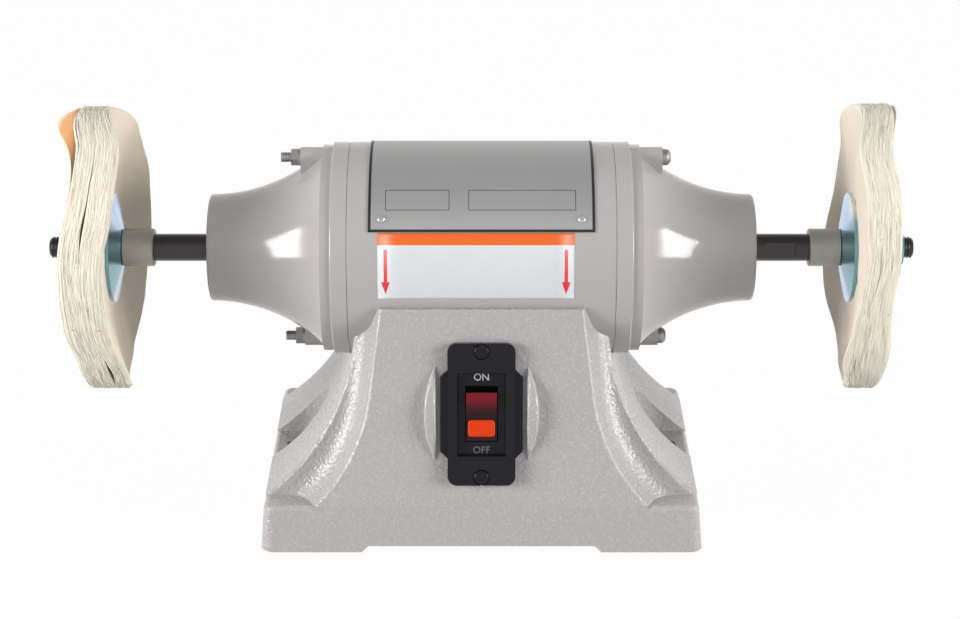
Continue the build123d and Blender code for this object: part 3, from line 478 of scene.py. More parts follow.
@dataclass(frozen=True)
class CottonCloth:
    """Unbleached woven cotton, with seed flecks, and a paler felted nap where the plies are frayed, whose
    darker strands are partly their own tone and partly painted shade in the nap's troughs.
    """

    name: str
    colour: Colour
    nap: Colour
    strand: Colour
    tints: Sequence[float] = (0.9, 1.06)
    clouds: Sequence[float] = (24.0, 5.0, 0.6)
    thread_pitch: float = 0.8 * MM
    thread_tint: float = 0.76
    thread_share: float = 0.14
    thread_depth: float = 0.00012
    thread_strength: float = 0.5
    fleck: Colour = (0.33, 0.22, 0.12)
    flecks: Sequence[float] = (310.0, 1.0)
    fleck_from: float = 0.77
    fleck_edge: float = 0.04
    fleck_share: float = 0.5
    frayed_from: float = 76.2 * MM
    frayed_edge: float = 2.0 * MM
    fibre_scale: Sequence[float] = (75.0, 1250.0, 1.0)
    strand_scale: Sequence[float] = (260.0, 2600.0, 1.0)
    fibre_detail: float = 4.0
    fibre_roughness: float = 0.65
    fibre_waver: float = 0.7
    strand_share: float = 0.4
    nap_from: float = 0.48
    nap_edge: float = 0.38
    nap_tint: float = 1.08
    nap_depth: float = 0.0006
    nap_strength: float = 0.6
    # Painted backlight: the light orange that the thin flap is blended toward, for light that comes through
    # it.
    flap: Colour = (1.0, 0.74, 0.48)
    painted_backlight_share: float = 0.8
    flap_from: float = 220.5 * MM
    flap_edge: float = 3.0 * MM
    flap_rise: float = 45.0 * MM
    flap_rise_edge: float = 20.0 * MM
    # Emission colour of the painted glow on the flap.
    painted_glow: Colour = (0.34, 0.185, 0.075)
    roughness: float = 0.95
    sheen: float = 0.3
    sheen_roughness: float = 0.6

    def material(self) -> Material:
        """Builds the cloth, with painted backlight and a painted glow on the thin flap at the left wheel's
        top, in place of the light that comes through it.
        """
        recipe = Recipe(self.name)
        x, y, rise, radius = recipe.about_shaft()
        weave = self.threads(y) * self.threads(rise) * 0.5 + 0.5
        cloud = recipe.noise(recipe.place(), *self.clouds)
        cloth = recipe.mottled(cloud, self.colour, self.tints)
        cloth = recipe.blend(weave * self.thread_share, cloth, tinted(self.colour, self.thread_tint))
        fibre = self.fibres(recipe, self.fibre_scale)
        strand = self.fibres(recipe, self.strand_scale)
        nap = fibre * (1 - self.strand_share) + strand * self.strand_share
        pale = tinted(self.nap, self.nap_tint)
        # Where the nap is low the strand colour shows: partly the strands' own tone, partly painted shade in
        # the troughs of the bump.
        edge = recipe.blend(nap.above(self.nap_from, self.nap_edge), self.strand, pale)
        frayed = radius.above(self.frayed_from, self.frayed_edge)
        flap = (0 - x).above(self.flap_from, self.flap_edge) * rise.above(self.flap_rise, self.flap_rise_edge)
        flecks = recipe.noise(recipe.place(), *self.flecks).above(self.fleck_from, self.fleck_edge)
        shade = recipe.blend(frayed, cloth, edge)
        # Painted backlight, blended onto the flap.
        shade = recipe.blend(flap * self.painted_backlight_share, shade, self.flap)
        shade = recipe.blend(flecks * self.fleck_share, shade, self.fleck)
        normal = recipe.bump(weave, self.thread_depth, self.thread_strength)
        return recipe.finish(
            Base_Color=shade,
            Roughness=self.roughness,
            Normal=recipe.bump(nap * frayed, self.nap_depth, self.nap_strength, normal),
            Sheen_Weight=self.sheen,
            Sheen_Roughness=self.sheen_roughness,
            # Painted glow: the flap emits light, though it is no lamp.
            Emission_Color=recipe.blend(flap, (0.0, 0.0, 0.0), self.painted_glow),
            Emission_Strength=1.0,
        )

    def threads(self, place: Signal) -> Signal:
        """The rise and fall of the threads that cross an axis, from -1 to 1."""
        return (place * (math.tau / self.thread_pitch)).math("SINE")

    def fibres(self, recipe: Recipe, scale: Sequence[float]) -> Signal:
        """Wavering streaks that run round the rim.

        Args:
            recipe: The material.
            scale: Their number to a metre, round the rim and across it.

        Returns:
            The streaks, from 0 to 1.
        """
        rim = recipe.node("ShaderNodeUVMap", {"uv_map": "rim"}, out="UV")
        drawn = recipe.node("ShaderNodeMapping", inputs={"Vector": rim, "Scale": scale})
        streaks = recipe.noise(drawn, 1.0, self.fibre_detail, self.fibre_roughness)
        recipe.feed(streaks.socket.node.inputs["Distortion"], self.fibre_waver)
        return streaks


@dataclass(frozen=True)
class BorderedPlate:
    """A brushed metal plate, wrapped round the barrel, with a black border and empty fields."""

    name: str
    colour: Colour
    ink: Colour = (0.012, 0.012, 0.014)
    ink_edge: float = 0.1 * MM
    tints: Sequence[float] = (0.9, 1.06)
    clouds: Sequence[float] = (40.0, 3.0)
    cloud_share: float = 0.4
    brushing: Sequence[float] = (25.0, 2400.0, 2400.0)
    brush_layers: Sequence[float] = (3.0, 0.6)
    brush_depth: float = 0.00002
    brush_strength: float = 0.5
    roughness: float = 0.44
    roughness_range: float = 0.16
    metallic: float = 0.85
    half_width: float = 60.0 * MM
    front_angle: float = 62.5
    back_angle: float = -42.0
    radius: float = 58.6 * MM
    border: float = 1.5 * MM
    field_line: float = 0.35 * MM
    field_middles: tuple[float, float] = (-34.0 * MM, 21.5 * MM)
    field_halves: tuple[float, float] = (17.0 * MM, 28.5 * MM)
    field_place: float = 46.0 * MM
    field_half_depth: float = 6.0 * MM

    def material(self) -> Material:
        """Builds the plate."""
        recipe = Recipe(self.name)
        x, along = recipe.round_barrel(self.radius)
        lines = recipe.noise(recipe.scaled(self.brushing), 1.0, *self.brush_layers)
        cloud = recipe.noise(recipe.place(), *self.clouds)
        brushed = lines * (1 - self.cloud_share) + cloud * self.cloud_share
        metal = recipe.mottled(brushed, self.colour, self.tints)
        front, back = (math.radians(angle) * self.radius for angle in (self.front_angle, self.back_angle))
        ink = abs(x).above(self.half_width - self.border, self.ink_edge)
        ends = abs(along - (front + back) / 2).above((front - back) / 2 - self.border, self.ink_edge)
        ink = ink.math("MAXIMUM", ends)
        for middle, half in zip(self.field_middles, self.field_halves):
            around = abs(along - self.field_place) - self.field_half_depth
            reach = (abs(x - middle) - half).math("MAXIMUM", around)
            line = reach.above(-self.field_line, self.ink_edge) * (1 - reach.above(0.0, self.ink_edge))
            ink = ink.math("MAXIMUM", line)
        return recipe.finish(
            Base_Color=recipe.blend(ink, metal, self.ink),
            Roughness=recipe.around(self.roughness, (lines, self.roughness_range)),
            Metallic=self.metallic - ink * self.metallic,
            Normal=recipe.bump(lines, self.brush_depth, self.brush_strength),
        )


@dataclass(frozen=True)
class TurningLabel(Surface):
    """A pale film label with a plain coloured band and two arrows that show which way the shaft turns."""

    roughness: float = 0.4
    grain_strength: float = 0.0
    clouds: Sequence[float] = (55.0, 3.0)
    cloud_dulling: float = 0.1
    tints: Sequence[float] = (0.95, 1.02)
    band: Colour = (0.86, 0.15, 0.02)
    arrow: Colour = (0.72, 0.012, 0.02)
    ink_edge: float = 0.12 * MM
    radius: float = 58.1 * MM
    band_end: float = 70.2 * MM
    band_edge: float = 0.1 * MM
    arrow_places: tuple[float, float] = (-50.8 * MM, 44.8 * MM)
    arrow_top: float = 72.5 * MM
    arrow_neck: float = 90.0 * MM
    arrow_tip: float = 97.0 * MM
    stem_half: float = 0.95 * MM
    head_half: float = 2.3 * MM

    def shade(self, recipe: Recipe, cloud: Signal) -> Signal:
        """The film's colour, with the band and the arrows on it.

        Args:
            recipe: The material.
            cloud: The film's own clouds.

        Returns:
            The colour.
        """
        x, along = recipe.round_barrel(self.radius)
        colour = super().shade(recipe, cloud)
        colour = recipe.blend(1 - along.above(self.band_end, self.band_edge), colour, self.band)
        for place in self.arrow_places:
            colour = recipe.blend(self.arrow_mask(x - place, along), colour, self.arrow)
        return colour

    def arrow_mask(self, across: Signal, along: Signal) -> Signal:
        """One arrow that points down the front of the barrel.

        Args:
            across: The place along the shaft from the arrow's middle.
            along: The place round the barrel.

        Returns:
            1 inside the arrow and 0 elsewhere.
        """
        below_neck = along.above(self.arrow_neck, self.ink_edge)
        stem = 1 - abs(across).above(self.stem_half, self.ink_edge)
        stem = stem * along.above(self.arrow_top, self.ink_edge) * (1 - below_neck)
        taper = (self.arrow_tip - along) * (self.head_half / (self.arrow_tip - self.arrow_neck))
        head = (taper - abs(across)).above(0.0, self.ink_edge) * below_neck
        return stem.math("MAXIMUM", head)


def both(piece: str) -> tuple[str, ...]:
    """The names of a piece's left and right copies."""
    return tuple(side.named(piece) for side in Side)


LIGHT_GREY = (0.47, 0.45, 0.445)
FINISHES: dict[str, Any] = {
    "barrel": GlossPaint("barrel_enamel", LIGHT_GREY),
    "casting": PebbledPaint("casting_enamel", LIGHT_GREY),
    "shaft": TurnedMetal("dark_shaft", (0.062, 0.055, 0.056), 0.22),
    "collar": TurnedMetal("grey_collar", (0.33, 0.32, 0.30), 0.42, tints=(0.7, 1.15)),
    "bright": TurnedMetal("bright_steel", (0.62, 0.61, 0.60), 0.3, (220.0,) * 3),
    "sheet": TurnedMetal("sheet_steel", (0.5, 0.5, 0.49), 0.38, (18.0, 1800.0, 18.0)),
    "core": TurnedMetal("lamination_stack", (0.24, 0.24, 0.25), 0.45, (4200.0, 8.0, 8.0)),
    "winding": TurnedMetal("varnished_copper", (0.58, 0.25, 0.1), 0.36, (900.0,) * 3),
    "casting_bare": TurnedMetal("bare_casting", (0.6, 0.6, 0.6), 0.5, (300.0,) * 3),
    "brass": TurnedMetal("plain_brass", (0.66, 0.5, 0.2), 0.32, (300.0,) * 3),
    "dull": TurnedMetal("dull_zinc", (0.34, 0.335, 0.33), 0.5, (300.0,) * 3),
    # Its colour is the painted shade on the front and back quarters of each flange and nut.
    "zinc": ZincPlate("zinc_film", (0.20, 0.38, 0.44)),
    "plate": BorderedPlate("brushed_plate", (0.47, 0.465, 0.46)),
    "label": TurningLabel("turning_label", (0.76, 0.77, 0.80)),
    "black": Moulding("black_moulding", (0.008, 0.008, 0.012), 0.34, specular=0.2),
    # The rocker's lower part, below 81 mm, is painted shade.
    "red": Moulding(
        "red_moulding", (0.19, 0.005, 0.012), specular=0.22, painted_shade=(0.022, 0.003, 0.005), painted_shade_below=81.0 * MM
    ),
    "key": Moulding("orange_moulding", (0.74, 0.05, 0.006), 0.4, specular=0.2),
    "screw": Moulding("black_screw", (0.007, 0.007, 0.01), 0.24, specular=0.2),
    "case": Moulding("capacitor_case", (0.05, 0.05, 0.055), 0.5),
    "rubber": Moulding("black_rubber", (0.016, 0.016, 0.016), 0.62, (700.0,) * 3),
    "pale_ink": Moulding("pale_ink", (0.62, 0.60, 0.56), 0.5),
    # The same pale print as ON, darkened as painted shade for the OFF word.
    "dim_ink": Moulding("dim_ink", (0.16, 0.155, 0.15), 0.5),
    "cotton": CottonCloth("buff_cotton", (0.95, 0.82, 0.66), (1.0, 0.93, 0.81), (0.92, 0.79, 0.62)),
    "lint": Moulding("cotton_lint", (0.84, 0.77, 0.67), 0.95),
}
FINISHED_NODES: dict[str, tuple[str, ...]] = {
    "casting": ("pedestal_base",),
    "barrel": ("motor_barrel", *both("end_bell")),
    "shaft": ("shaft",),
    "collar": both("spacer_collar"),
    "bright": (
        "cover_screws", "barrel_screws", "nameplate_rivets", "clamp_screws",
        *both("bearing_outer_race"), *both("bearing_inner_race"), *both("bearing_balls"),
    ),
    "sheet": ("base_cover_plate", "bearing_preload_washer", "capacitor_clamp"),
    "core": ("stator_core", "rotor_core"),
    "winding": ("stator_windings",),
    "casting_bare": ("rotor_cage",),
    "brass": ("switch_terminals", *both("bearing_cage")),
    "dull": ("tie_bolts", "tie_bolt_washers", "tie_bolt_nuts"),
    "zinc": (*both("inner_flange"), *both("outer_flange"), *both("arbor_nut")),
    "plate": ("nameplate",),
    "black": ("switch_housing",),
    "red": ("switch_rocker",),
    "key": ("safety_key",),
    "screw": ("switch_screws",),
    "case": ("capacitor",),
    "rubber": ("cord_grommet",),
    "cotton": both("buffing_wheel"),
}


class Paintshop:
    """Makes each finish once and puts it on the pieces."""

    def __init__(self) -> None:
        """Builds every finish's material."""
        self.materials = {key: finish.material() for key, finish in FINISHES.items()}

    def dress(self, piece: Object, key: str) -> None:
        """Gives a piece one finish.

        Args:
            piece: The object to dress.
            key: The finish's key.
        """
        slots = piece.data.materials
        if not len(slots):
            slots.append(None)
        for index in range(len(slots)):
            slots[index] = self.materials[key]

    def dress_nodes(self) -> None:
        """Gives every solid of the frame its finish."""
        for key, nodes in FINISHED_NODES.items():
            for node in nodes:
                self.dress(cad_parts[node], key)
                LOG.info("%s is finished as %s", node, key)


def new_piece(name: str, vertices: Sequence[Sequence[float]], faces: Iterable[Sequence[int]]) -> Object:
    """Makes a smooth-shaded mesh object at the origin.

    Args:
        name: The piece's name.
        vertices: Its points, in metres.
        faces: The point numbers of each face.

    Returns:
        The object, linked to the scene.
    """
    points = [tuple(map(float, vertex)) for vertex in vertices]
    mesh = bpy.data.meshes.new(name)
    mesh.from_pydata(points, [], [tuple(map(int, face)) for face in faces])
    mesh.validate()
    mesh.shade_smooth()
    return linked(name, mesh)


def linked(name: str, data: ID) -> Object:
    """Makes an object and links it to the scene.

    Args:
        name: The object's name.
        data: Its mesh, text, lamp or camera.

    Returns:
        The object.
    """
    made = bpy.data.objects.new(name, data)
    bpy.context.scene.collection.objects.link(made)
    return made


def plain_mesh(source: Object) -> Mesh:
    """A new mesh of an object as it is with its text or its nodes worked out."""
    graph = bpy.context.evaluated_depsgraph_get()
    return bpy.data.meshes.new_from_object(source.evaluated_get(graph), depsgraph=graph)


class NodeBench(Wiring):
    """One Geometry Nodes tree with named inputs, which is run once and leaves a plain mesh."""

    def __init__(self, name: str) -> None:
        """Starts an empty tree.

        Args:
            name: The tree's name, and that of the piece it makes.
        """
        super().__init__(bpy.data.node_groups.new(name, "GeometryNodeTree"))
        for direction in ("INPUT", "OUTPUT"):
            self.tree.interface.new_socket("Geometry", in_out=direction, socket_type="NodeSocketGeometry")
        self.name = name
        self.entry = self.tree.nodes.new("NodeGroupInput")
        self.exit = self.tree.nodes.new("NodeGroupOutput")
        self.values: dict[str, Any] = {}

    def size(self, name: str, value: Any, kind: str = "NodeSocketFloat") -> NodeSocket:
        """Adds a named input.

        Args:
            name: The input's name.
            value: What it is set to.
            kind: Its socket type.

        Returns:
            The socket that carries it inside the tree.
        """
        item = self.tree.interface.new_socket(name, in_out="INPUT", socket_type=kind)
        self.values[item.identifier] = value
        return self.entry.outputs[name]

    def carrier(self) -> NodeSocket:
        """The mesh that the tree is run on."""
        return self.entry.outputs["Geometry"]

    def vector(self, operation: str, *values: Value, out: Any = 0) -> NodeSocket:
        """One output of a Vector Math node with the given values."""
        return self.add("ShaderNodeVectorMath", {"operation": operation}, dict(enumerate(values)), out)

    def run(self, last: NodeSocket, material: Material, mesh: Mesh | None = None) -> Object:
        """Ends the tree, runs it and keeps the result as a plain mesh object.

        Args:
            last: The geometry that the tree ends in.
            material: What the piece is made of.
            mesh: A mesh to run on, or nothing.

        Returns:
            The piece.
        """
        real = self.add("GeometryNodeRealizeInstances", inputs={0: last})
        dressed = self.add("GeometryNodeSetMaterial", inputs={"Geometry": real, "Material": material})
        self.tree.links.new(dressed, self.exit.inputs[0])
        piece = linked(self.name, mesh.copy() if mesh else bpy.data.meshes.new(self.name))
        modifier = piece.modifiers.new("grow", "NODES")
        modifier.node_group = self.tree
        for identifier, value in self.values.items():
            modifier[identifier] = value
        grown = plain_mesh(piece)
        piece.modifiers.remove(modifier)
        piece.data = grown
        grown.name = self.name
        grown.shade_smooth()
        if not len(grown.materials):
            grown.materials.append(material)
        return piece


@dataclass(frozen=True)
class Thread:
    """A screw thread on the end of a shaft or bolt, wound as a ridge on its plain root."""

    name: str
    body: str
    slot: str
    finish: str
    start: float
    end: float
    root: float
    pitch: float
    height: float
    rise: float = 0.0
    sunk: float = 0.2
    turn_points: int = 28
    ridge_sides: int = 5

    def build(self, shop: Paintshop) -> Object:
        """Winds the thread along X, at its rise above the shaft's axis.

        Args:
            shop: Where the finishes are.

        Returns:
            The thread.
        """
        bench = NodeBench(self.name)
        low, high = sorted((self.start, self.end))
        length = high - low - self.pitch
        radius = bench.size("Radius", self.root + self.height * self.sunk)
        turns = bench.size("Turns", length / self.pitch)
        reach = bench.size("Length", length)
        ridge = bench.size("Ridge", self.height * (1 - self.sunk))
        middle = (low + self.pitch / 2, 0.0, SHAFT_HEIGHT + self.rise)
        place = bench.size("Place", middle, "NodeSocketVector")
        spiral = {"Resolution": self.turn_points, "Rotations": turns, "Height": reach}
        spiral |= {"Start Radius": radius, "End Radius": radius}
        path = bench.add("GeometryNodeCurveSpiral", inputs=spiral)
        circle = {"Resolution": self.ridge_sides, "Radius": ridge}
        section = bench.add("GeometryNodeCurvePrimitiveCircle", inputs=circle)
        swept = {"Curve": path, "Profile Curve": section, "Fill Caps": True}
        wound = bench.add("GeometryNodeCurveToMesh", inputs=swept)
        turned = {"Geometry": wound, "Rotation": (0.0, math.pi / 2, 0.0), "Translation": place}
        laid = bench.add("GeometryNodeTransform", inputs=turned)
        piece = bench.run(laid, shop.materials[self.finish])
        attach(piece, self.body)
        return piece


@dataclass(frozen=True)
class Lint:
    """Loose fibres that stand out of a wheel's frayed rim."""

    seed: int
    density: float = 230000.0
    edge: float = 76.4 * MM
    length: float = 2.4 * MM
    thickness: float = 0.05 * MM
    fibre_sides: int = 3
    lean: float = 1.15
    twist: float = 3.1
    shortest: float = 0.35

    def grow(self, wheel: Object, shop: Paintshop) -> Object:
        """Grows the fibres on a wheel.

        Args:
            wheel: The cotton wheel.
            shop: Where the finishes are.

        Returns:
            The fibres, as one piece.
        """
        bench = NodeBench(f"{wheel.name}_lint")
        density = bench.size("Density", self.density)
        edge = bench.size("Edge", self.edge)
        length = bench.size("Length", self.length)
        thickness = bench.size("Thickness", self.thickness)
        seed = bench.size("Seed", self.seed, "NodeSocketInt")
        spot = bench.vector("SUBTRACT", bench.add("GeometryNodeInputPosition"), (0, 0, SHAFT_HEIGHT))
        radius = bench.vector("LENGTH", bench.vector("MULTIPLY", spot, (0, 1, 1)), out="Value")
        frayed = bench.add("ShaderNodeMath", {"operation": "GREATER_THAN"}, {0: radius, 1: edge})
        spread = {"Mesh": bench.carrier(), "Selection": frayed, "Density": density, "Seed": seed}
        points = bench.add("GeometryNodeDistributePointsOnFaces", inputs=spread)
        cone = {"Vertices": self.fibre_sides, "Radius Top": 0.0, "Radius Bottom": thickness, "Depth": length}
        fibre = bench.add("GeometryNodeMeshCone", {"fill_type": "NONE"}, cone, out="Mesh")
        most = (self.lean, self.lean, self.twist)
        tilts = {"Min": tuple(-angle for angle in most), "Max": most, "Seed": seed}
        tilt = bench.add("FunctionNodeRandomValue", {"data_type": "FLOAT_VECTOR"}, tilts, out="Value")
        turns = {"Rotation": points.node.outputs["Rotation"], "Rotate By": tilt}
        leant = bench.add("FunctionNodeRotateRotation", inputs=turns, out="Rotation")
        sizes = {"Min_001": self.shortest, "Max_001": 1.0, "Seed": seed}
        size = bench.add("FunctionNodeRandomValue", {"data_type": "FLOAT"}, sizes, out="Value_001")
        placed = {"Points": points, "Instance": fibre, "Rotation": leant, "Scale": size}
        grown = bench.add("GeometryNodeInstanceOnPoints", inputs=placed)
        piece = bench.run(grown, shop.materials["lint"], wheel.data)
        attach(piece, "rotor")
        return piece


@dataclass(frozen=True)
class BarrelLabel:
    """The film label on the front of the barrel, under the plate."""

    left: float = -55.0 * MM
    right: float = 49.0 * MM
    top_angle: float = 62.9
    bottom_angle: float = 98.3
    radius: float = 58.0 * MM
    lift: float = 0.01 * MM
    thickness: float = 0.12 * MM
    columns: int = 8
    rows: int = 40

    def build(self, shop: Paintshop) -> Object:
        """Builds the label.

        Args:
            shop: Where the finishes are.

        Returns:
            The label, on the stand.
        """
        across = np.linspace(self.left, self.right, self.columns + 1)
        turn = np.radians(np.linspace(self.top_angle, self.bottom_angle, self.rows + 1))
        points = [
            (x, -radius * math.sin(angle), SHAFT_HEIGHT + radius * math.cos(angle))
            for radius in (self.radius + self.lift, self.radius + self.thickness)
            for angle in turn
            for x in across
        ]
        wide = self.columns + 1
        size = len(points) // 2
        faces = []
        for row in range(self.rows):
            for column in range(self.columns):
                first = row * wide + column
                quad = (first, first + wide, first + wide + 1, first + 1)
                faces.append(tuple(index + size for index in quad))
                faces.append(quad[::-1])
        rim = list(range(wide)) + [row * wide + self.columns for row in range(1, self.rows + 1)]
        rim += [self.rows * wide + column for column in range(self.columns - 1, -1, -1)]
        rim += [row * wide for row in range(self.rows - 1, 0, -1)]
        for here, there in zip(rim, rim[1:] + rim[:1]):
            faces.append((here + size, there + size, there, here))
        label = new_piece("barrel_label", points, faces)
        shop.dress(label, "label")
        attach(label, "stand")
        return label


@dataclass(frozen=True)
class SwitchWord:
    """One word printed on the face of the switch."""

    word: str
    place: float
    finish: str
    height: float = 3.7 * MM
    thickness: float = 0.05 * MM
    curve_points: int = 4
    origin: tuple[float, float, float] = (0.0, -71.695 * MM, 75.5 * MM)
    lean: float = 13.1124
    standoff: float = 30.0 * MM

    def build(self, shop: Paintshop) -> Object:
        """Lays the word on the switch housing.

        Args:
            shop: Where the finishes are.

        Returns:
            The word as a mesh, on the stand.
        """
        name = f"switch_{self.word.lower()}"
        curve = bpy.data.curves.new(name, "FONT")
        curve.body = self.word
        curve.size = self.height / CAPITAL_SHARE
        curve.align_x = "CENTER"
        curve.align_y = "CENTER"
        curve.resolution_u = self.curve_points
        holder = linked(name, curve)
        mesh = plain_mesh(holder)
        bpy.data.objects.remove(holder)
        lean = math.radians(self.lean)
        normal = Vector((0, -math.cos(lean), math.sin(lean)))
        upward = Vector((0, math.sin(lean), math.cos(lean)))
        graph = bpy.context.evaluated_depsgraph_get()
        housing = BVHTree.FromObject(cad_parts["switch_housing"], graph)
        for vertex in mesh.vertices:
            spot = Vector(self.origin) + Vector((vertex.co.x, 0, 0)) + upward * (vertex.co.y + self.place)
            hit, face_normal, _, _ = housing.ray_cast(spot + normal * self.standoff, -normal)
            vertex.co = hit + face_normal * self.thickness
        word = linked(name, mesh)
        shop.dress(word, self.finish)
        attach(word, "stand")
        return word


@dataclass(frozen=True)
class Hump:
    """A smooth local change round an angle of the wheel, in millimetres at its middle."""

    angle: float
    spread: float
    height: float


@dataclass(frozen=True)
class Split(Hump):
    """A slit, as high as it is open, between a ply and the next one outboard."""

    ply: int


@dataclass(frozen=True)
class BuffingWheel:
    """A loose cotton buff: wavy plies, gripped at the hub, whose frayed edges have felted at the rim."""

    side: Side
    sway: tuple[tuple[float, float], ...]
    fan: float
    fan_changes: tuple[Hump, ...]
    crest: Hump
    peel: Hump
    splits: tuple[Split, ...]
    seed: int
    ply_count: int = 22
    segments: int = 300
    rim_samples: int = 4
    inboard: float = 203.05 * MM
    grip: float = 14.0 * MM
    radius: float = 77.3 * MM
    bore: float = 6.4 * MM
    grip_radius: float = 34.0 * MM
    full_radius: float = 78.0 * MM
    lean_power: float = 1.5
    ripple: float = 0.35 * MM
    ripple_lobes: int = 11
    ripple_phase: float = 1.0
    peel_plies: int = 2
    peel_power: int = 4
    corner_from: float = 0.72
    corner_drop: float = 1.9 * MM
    felt_layers: tuple[tuple[float, int], ...] = ((0.2 * MM, 58), (0.11 * MM, 130))
    felt_neighbour: float = 0.2
    edge_drop: float = 0.16 * MM
    edge_streaks: int = 40
    fray_height: float = 0.3 * MM
    fray_lobes: tuple[int, ...] = (2, 3, 5, 9, 14, 23)
    fray_fall: float = 0.5
    bound_share: float = 0.3
    bound_lobes: tuple[int, ...] = (4, 7, 12, 19)
    bound_fall: float = 0.3
    gap_share: float = 0.015
    outer_rings: tuple[float, ...] = (0.083, 0.4, 0.5, 0.6, 0.7, 0.8, 0.88, 0.94, 0.98)
    inner_rings: tuple[float, ...] = (0.083, 0.5, 0.82, 0.95)

    @property
    def angles(self) -> np.ndarray:
        """The angles round the wheel at which it is built."""
        return np.linspace(0, math.tau, self.segments, endpoint=False)

    def lobes(self, random: np.random.Generator, counts: Sequence[int], fall: float) -> np.ndarray:
        """A wavy line round the wheel.

        Args:
            random: The wheel's own random numbers.
            counts: How many waves each layer has in a turn.
            fall: How fast the finer layers weaken.

        Returns:
            The height of the line at each angle.
        """
        layers = [
            random.normal(0, 1) / count**fall * np.sin(count * self.angles + random.uniform(0, math.tau))
            for count in counts
        ]
        return sum(layers)

    def streaks(self, random: np.random.Generator, rows: int, knots: int) -> np.ndarray:
        """Short uneven streaks that run round the rim, one row for each line of points.

        Args:
            random: The wheel's own random numbers.
            rows: How many lines of points there are across the rim.
            knots: How many streaks there are in a turn.

        Returns:
            A height for each row and angle.
        """
        coarse = random.normal(0, 1, (rows, knots))
        start = random.uniform(0, knots, (rows, 1))
        place = (np.arange(self.segments) * knots / self.segments + start) % knots
        low = place.astype(int) % knots
        share = place - np.floor(place)
        share = share * share * (3 - 2 * share)
        line = np.arange(rows)[:, None]
        field = coarse[line, low] * (1 - share) + coarse[line, (low + 1) % knots] * share
        beside = np.roll(field, 1, 0) + np.roll(field, -1, 0)
        return (1 - 2 * self.felt_neighbour) * field + self.felt_neighbour * beside

    def wave(self) -> np.ndarray:
        """How far outboard the rim stands from the hub at each angle, the same for every ply."""
        places, heights = np.array(self.sway).T
        turn = np.degrees(self.angles)
        after = np.searchsorted(places, turn, side="right") % len(places)
        before = after - 1
        share = (turn - places[before]) % 360 / ((places[after] - places[before]) % 360)
        share = (1 - np.cos(math.pi * share)) / 2
        swing = heights[before] * (1 - share) + heights[after] * share
        return swing * MM + self.ripple * np.sin(self.ripple_lobes * self.angles + self.ripple_phase)

    def bell(self, hump: Hump) -> np.ndarray:
        """A hump's height at each angle round the wheel, in metres."""
        turn = (np.degrees(self.angles) - hump.angle + 180) % 360 - 180
        return hump.height * MM * np.exp(-((turn / hump.spread) ** 2))

    def pushed(self, number: int) -> np.ndarray:
        """How far a ply is pushed aside at the rim, by the slits and by the flap that has peeled off.

        Args:
            number: The ply's number, from the inboard side.

        Returns:
            The distance outboard at each angle.
        """
        beneath = self.ply_count - 1 - number
        total = self.bell(self.peel) * max(0.0, 1 - beneath / self.peel_plies) ** self.peel_power
        for split in self.splits:
            total = total + (0.5 if number > split.ply else -0.5) * self.bell(split)
        return total

    def ply(
        self, number: int, bounds: Sequence[np.ndarray], felt: np.ndarray, fray: np.ndarray
    ) -> tuple[np.ndarray, np.ndarray, np.ndarray]:
        """Builds one ply as a closed disc.

        Args:
            number: The ply's number, from the inboard side.
            bounds: Where its two faces lie across the stack at each angle, from 0 to 1.
            felt: How far each line of points on its edge stands out.
            fray: The radius of the wheel's rim at each angle.

        Returns:
            Its points, its quads, and each quad corner's place round and across the rim.
        """
        rings = self.outer_rings if number in (0, self.ply_count - 1) else self.inner_rings
        profile = [(ring, 0.0, None) for ring in rings]
        profile += [(1.0, share, line) for line, share in enumerate(np.linspace(0, 1, self.rim_samples))]
        profile += [(ring, 1.0, None) for ring in reversed(rings)]
        rim = self.wave() + self.pushed(number)
        fan = self.fan * MM + sum(self.bell(change) for change in self.fan_changes)
        rows, marks = [], []
        for ring, share, line in profile:
            across = bounds[0] * (1 - share) + bounds[1] * share
            corner = np.clip((np.abs(across - 0.5) * 2 - self.corner_from) / (1 - self.corner_from), 0, None)
            edge = fray - corner**2 * self.corner_drop
            radius = edge * ring if line is None else edge + felt[line]
            loose = (radius - self.grip_radius) / (self.full_radius - self.grip_radius)
            lean = np.clip(loose, 0, None) ** self.lean_power
            outboard = self.inboard + across * self.grip + lean * (rim + fan * (across - 0.5))
            up = SHAFT_HEIGHT + radius * np.sin(self.angles)
            rows.append(np.stack((self.side.value * outboard, radius * np.cos(self.angles), up), 1))
            marks.append(across * (self.grip + self.fan * MM))
        return np.concatenate(rows), *self.skin(marks)

    def skin(self, marks: Sequence[np.ndarray]) -> tuple[np.ndarray, np.ndarray]:
        """Joins a ply's rows of points, each to the next and the last to the first.

        Args:
            marks: Each row's place across the rim, at each angle.

        Returns:
            The quads, and each quad corner's place round and across the rim.
        """
        step = np.arange(self.segments)
        after = (step + 1) % self.segments
        arc = math.tau * self.full_radius / self.segments
        round_rim = np.stack((step, step + 1, step + 1, step), 1) * arc
        quads, corners = [], []
        for row, mark in enumerate(marks):
            following = (row + 1) % len(marks)
            low, high = row * self.segments, following * self.segments
            beyond = marks[following]
            quad = np.stack((low + step, low + after, high + after, high + step), 1)
            across_rim = np.stack((mark[step], mark[after], beyond[after], beyond[step]), 1)
            corner = np.stack((round_rim, across_rim), 2)
            if self.side is Side.RIGHT:
                quad, corner = quad[:, ::-1], corner[:, ::-1]
            quads.append(quad)
            corners.append(corner)
        return np.concatenate(quads), np.concatenate(corners)

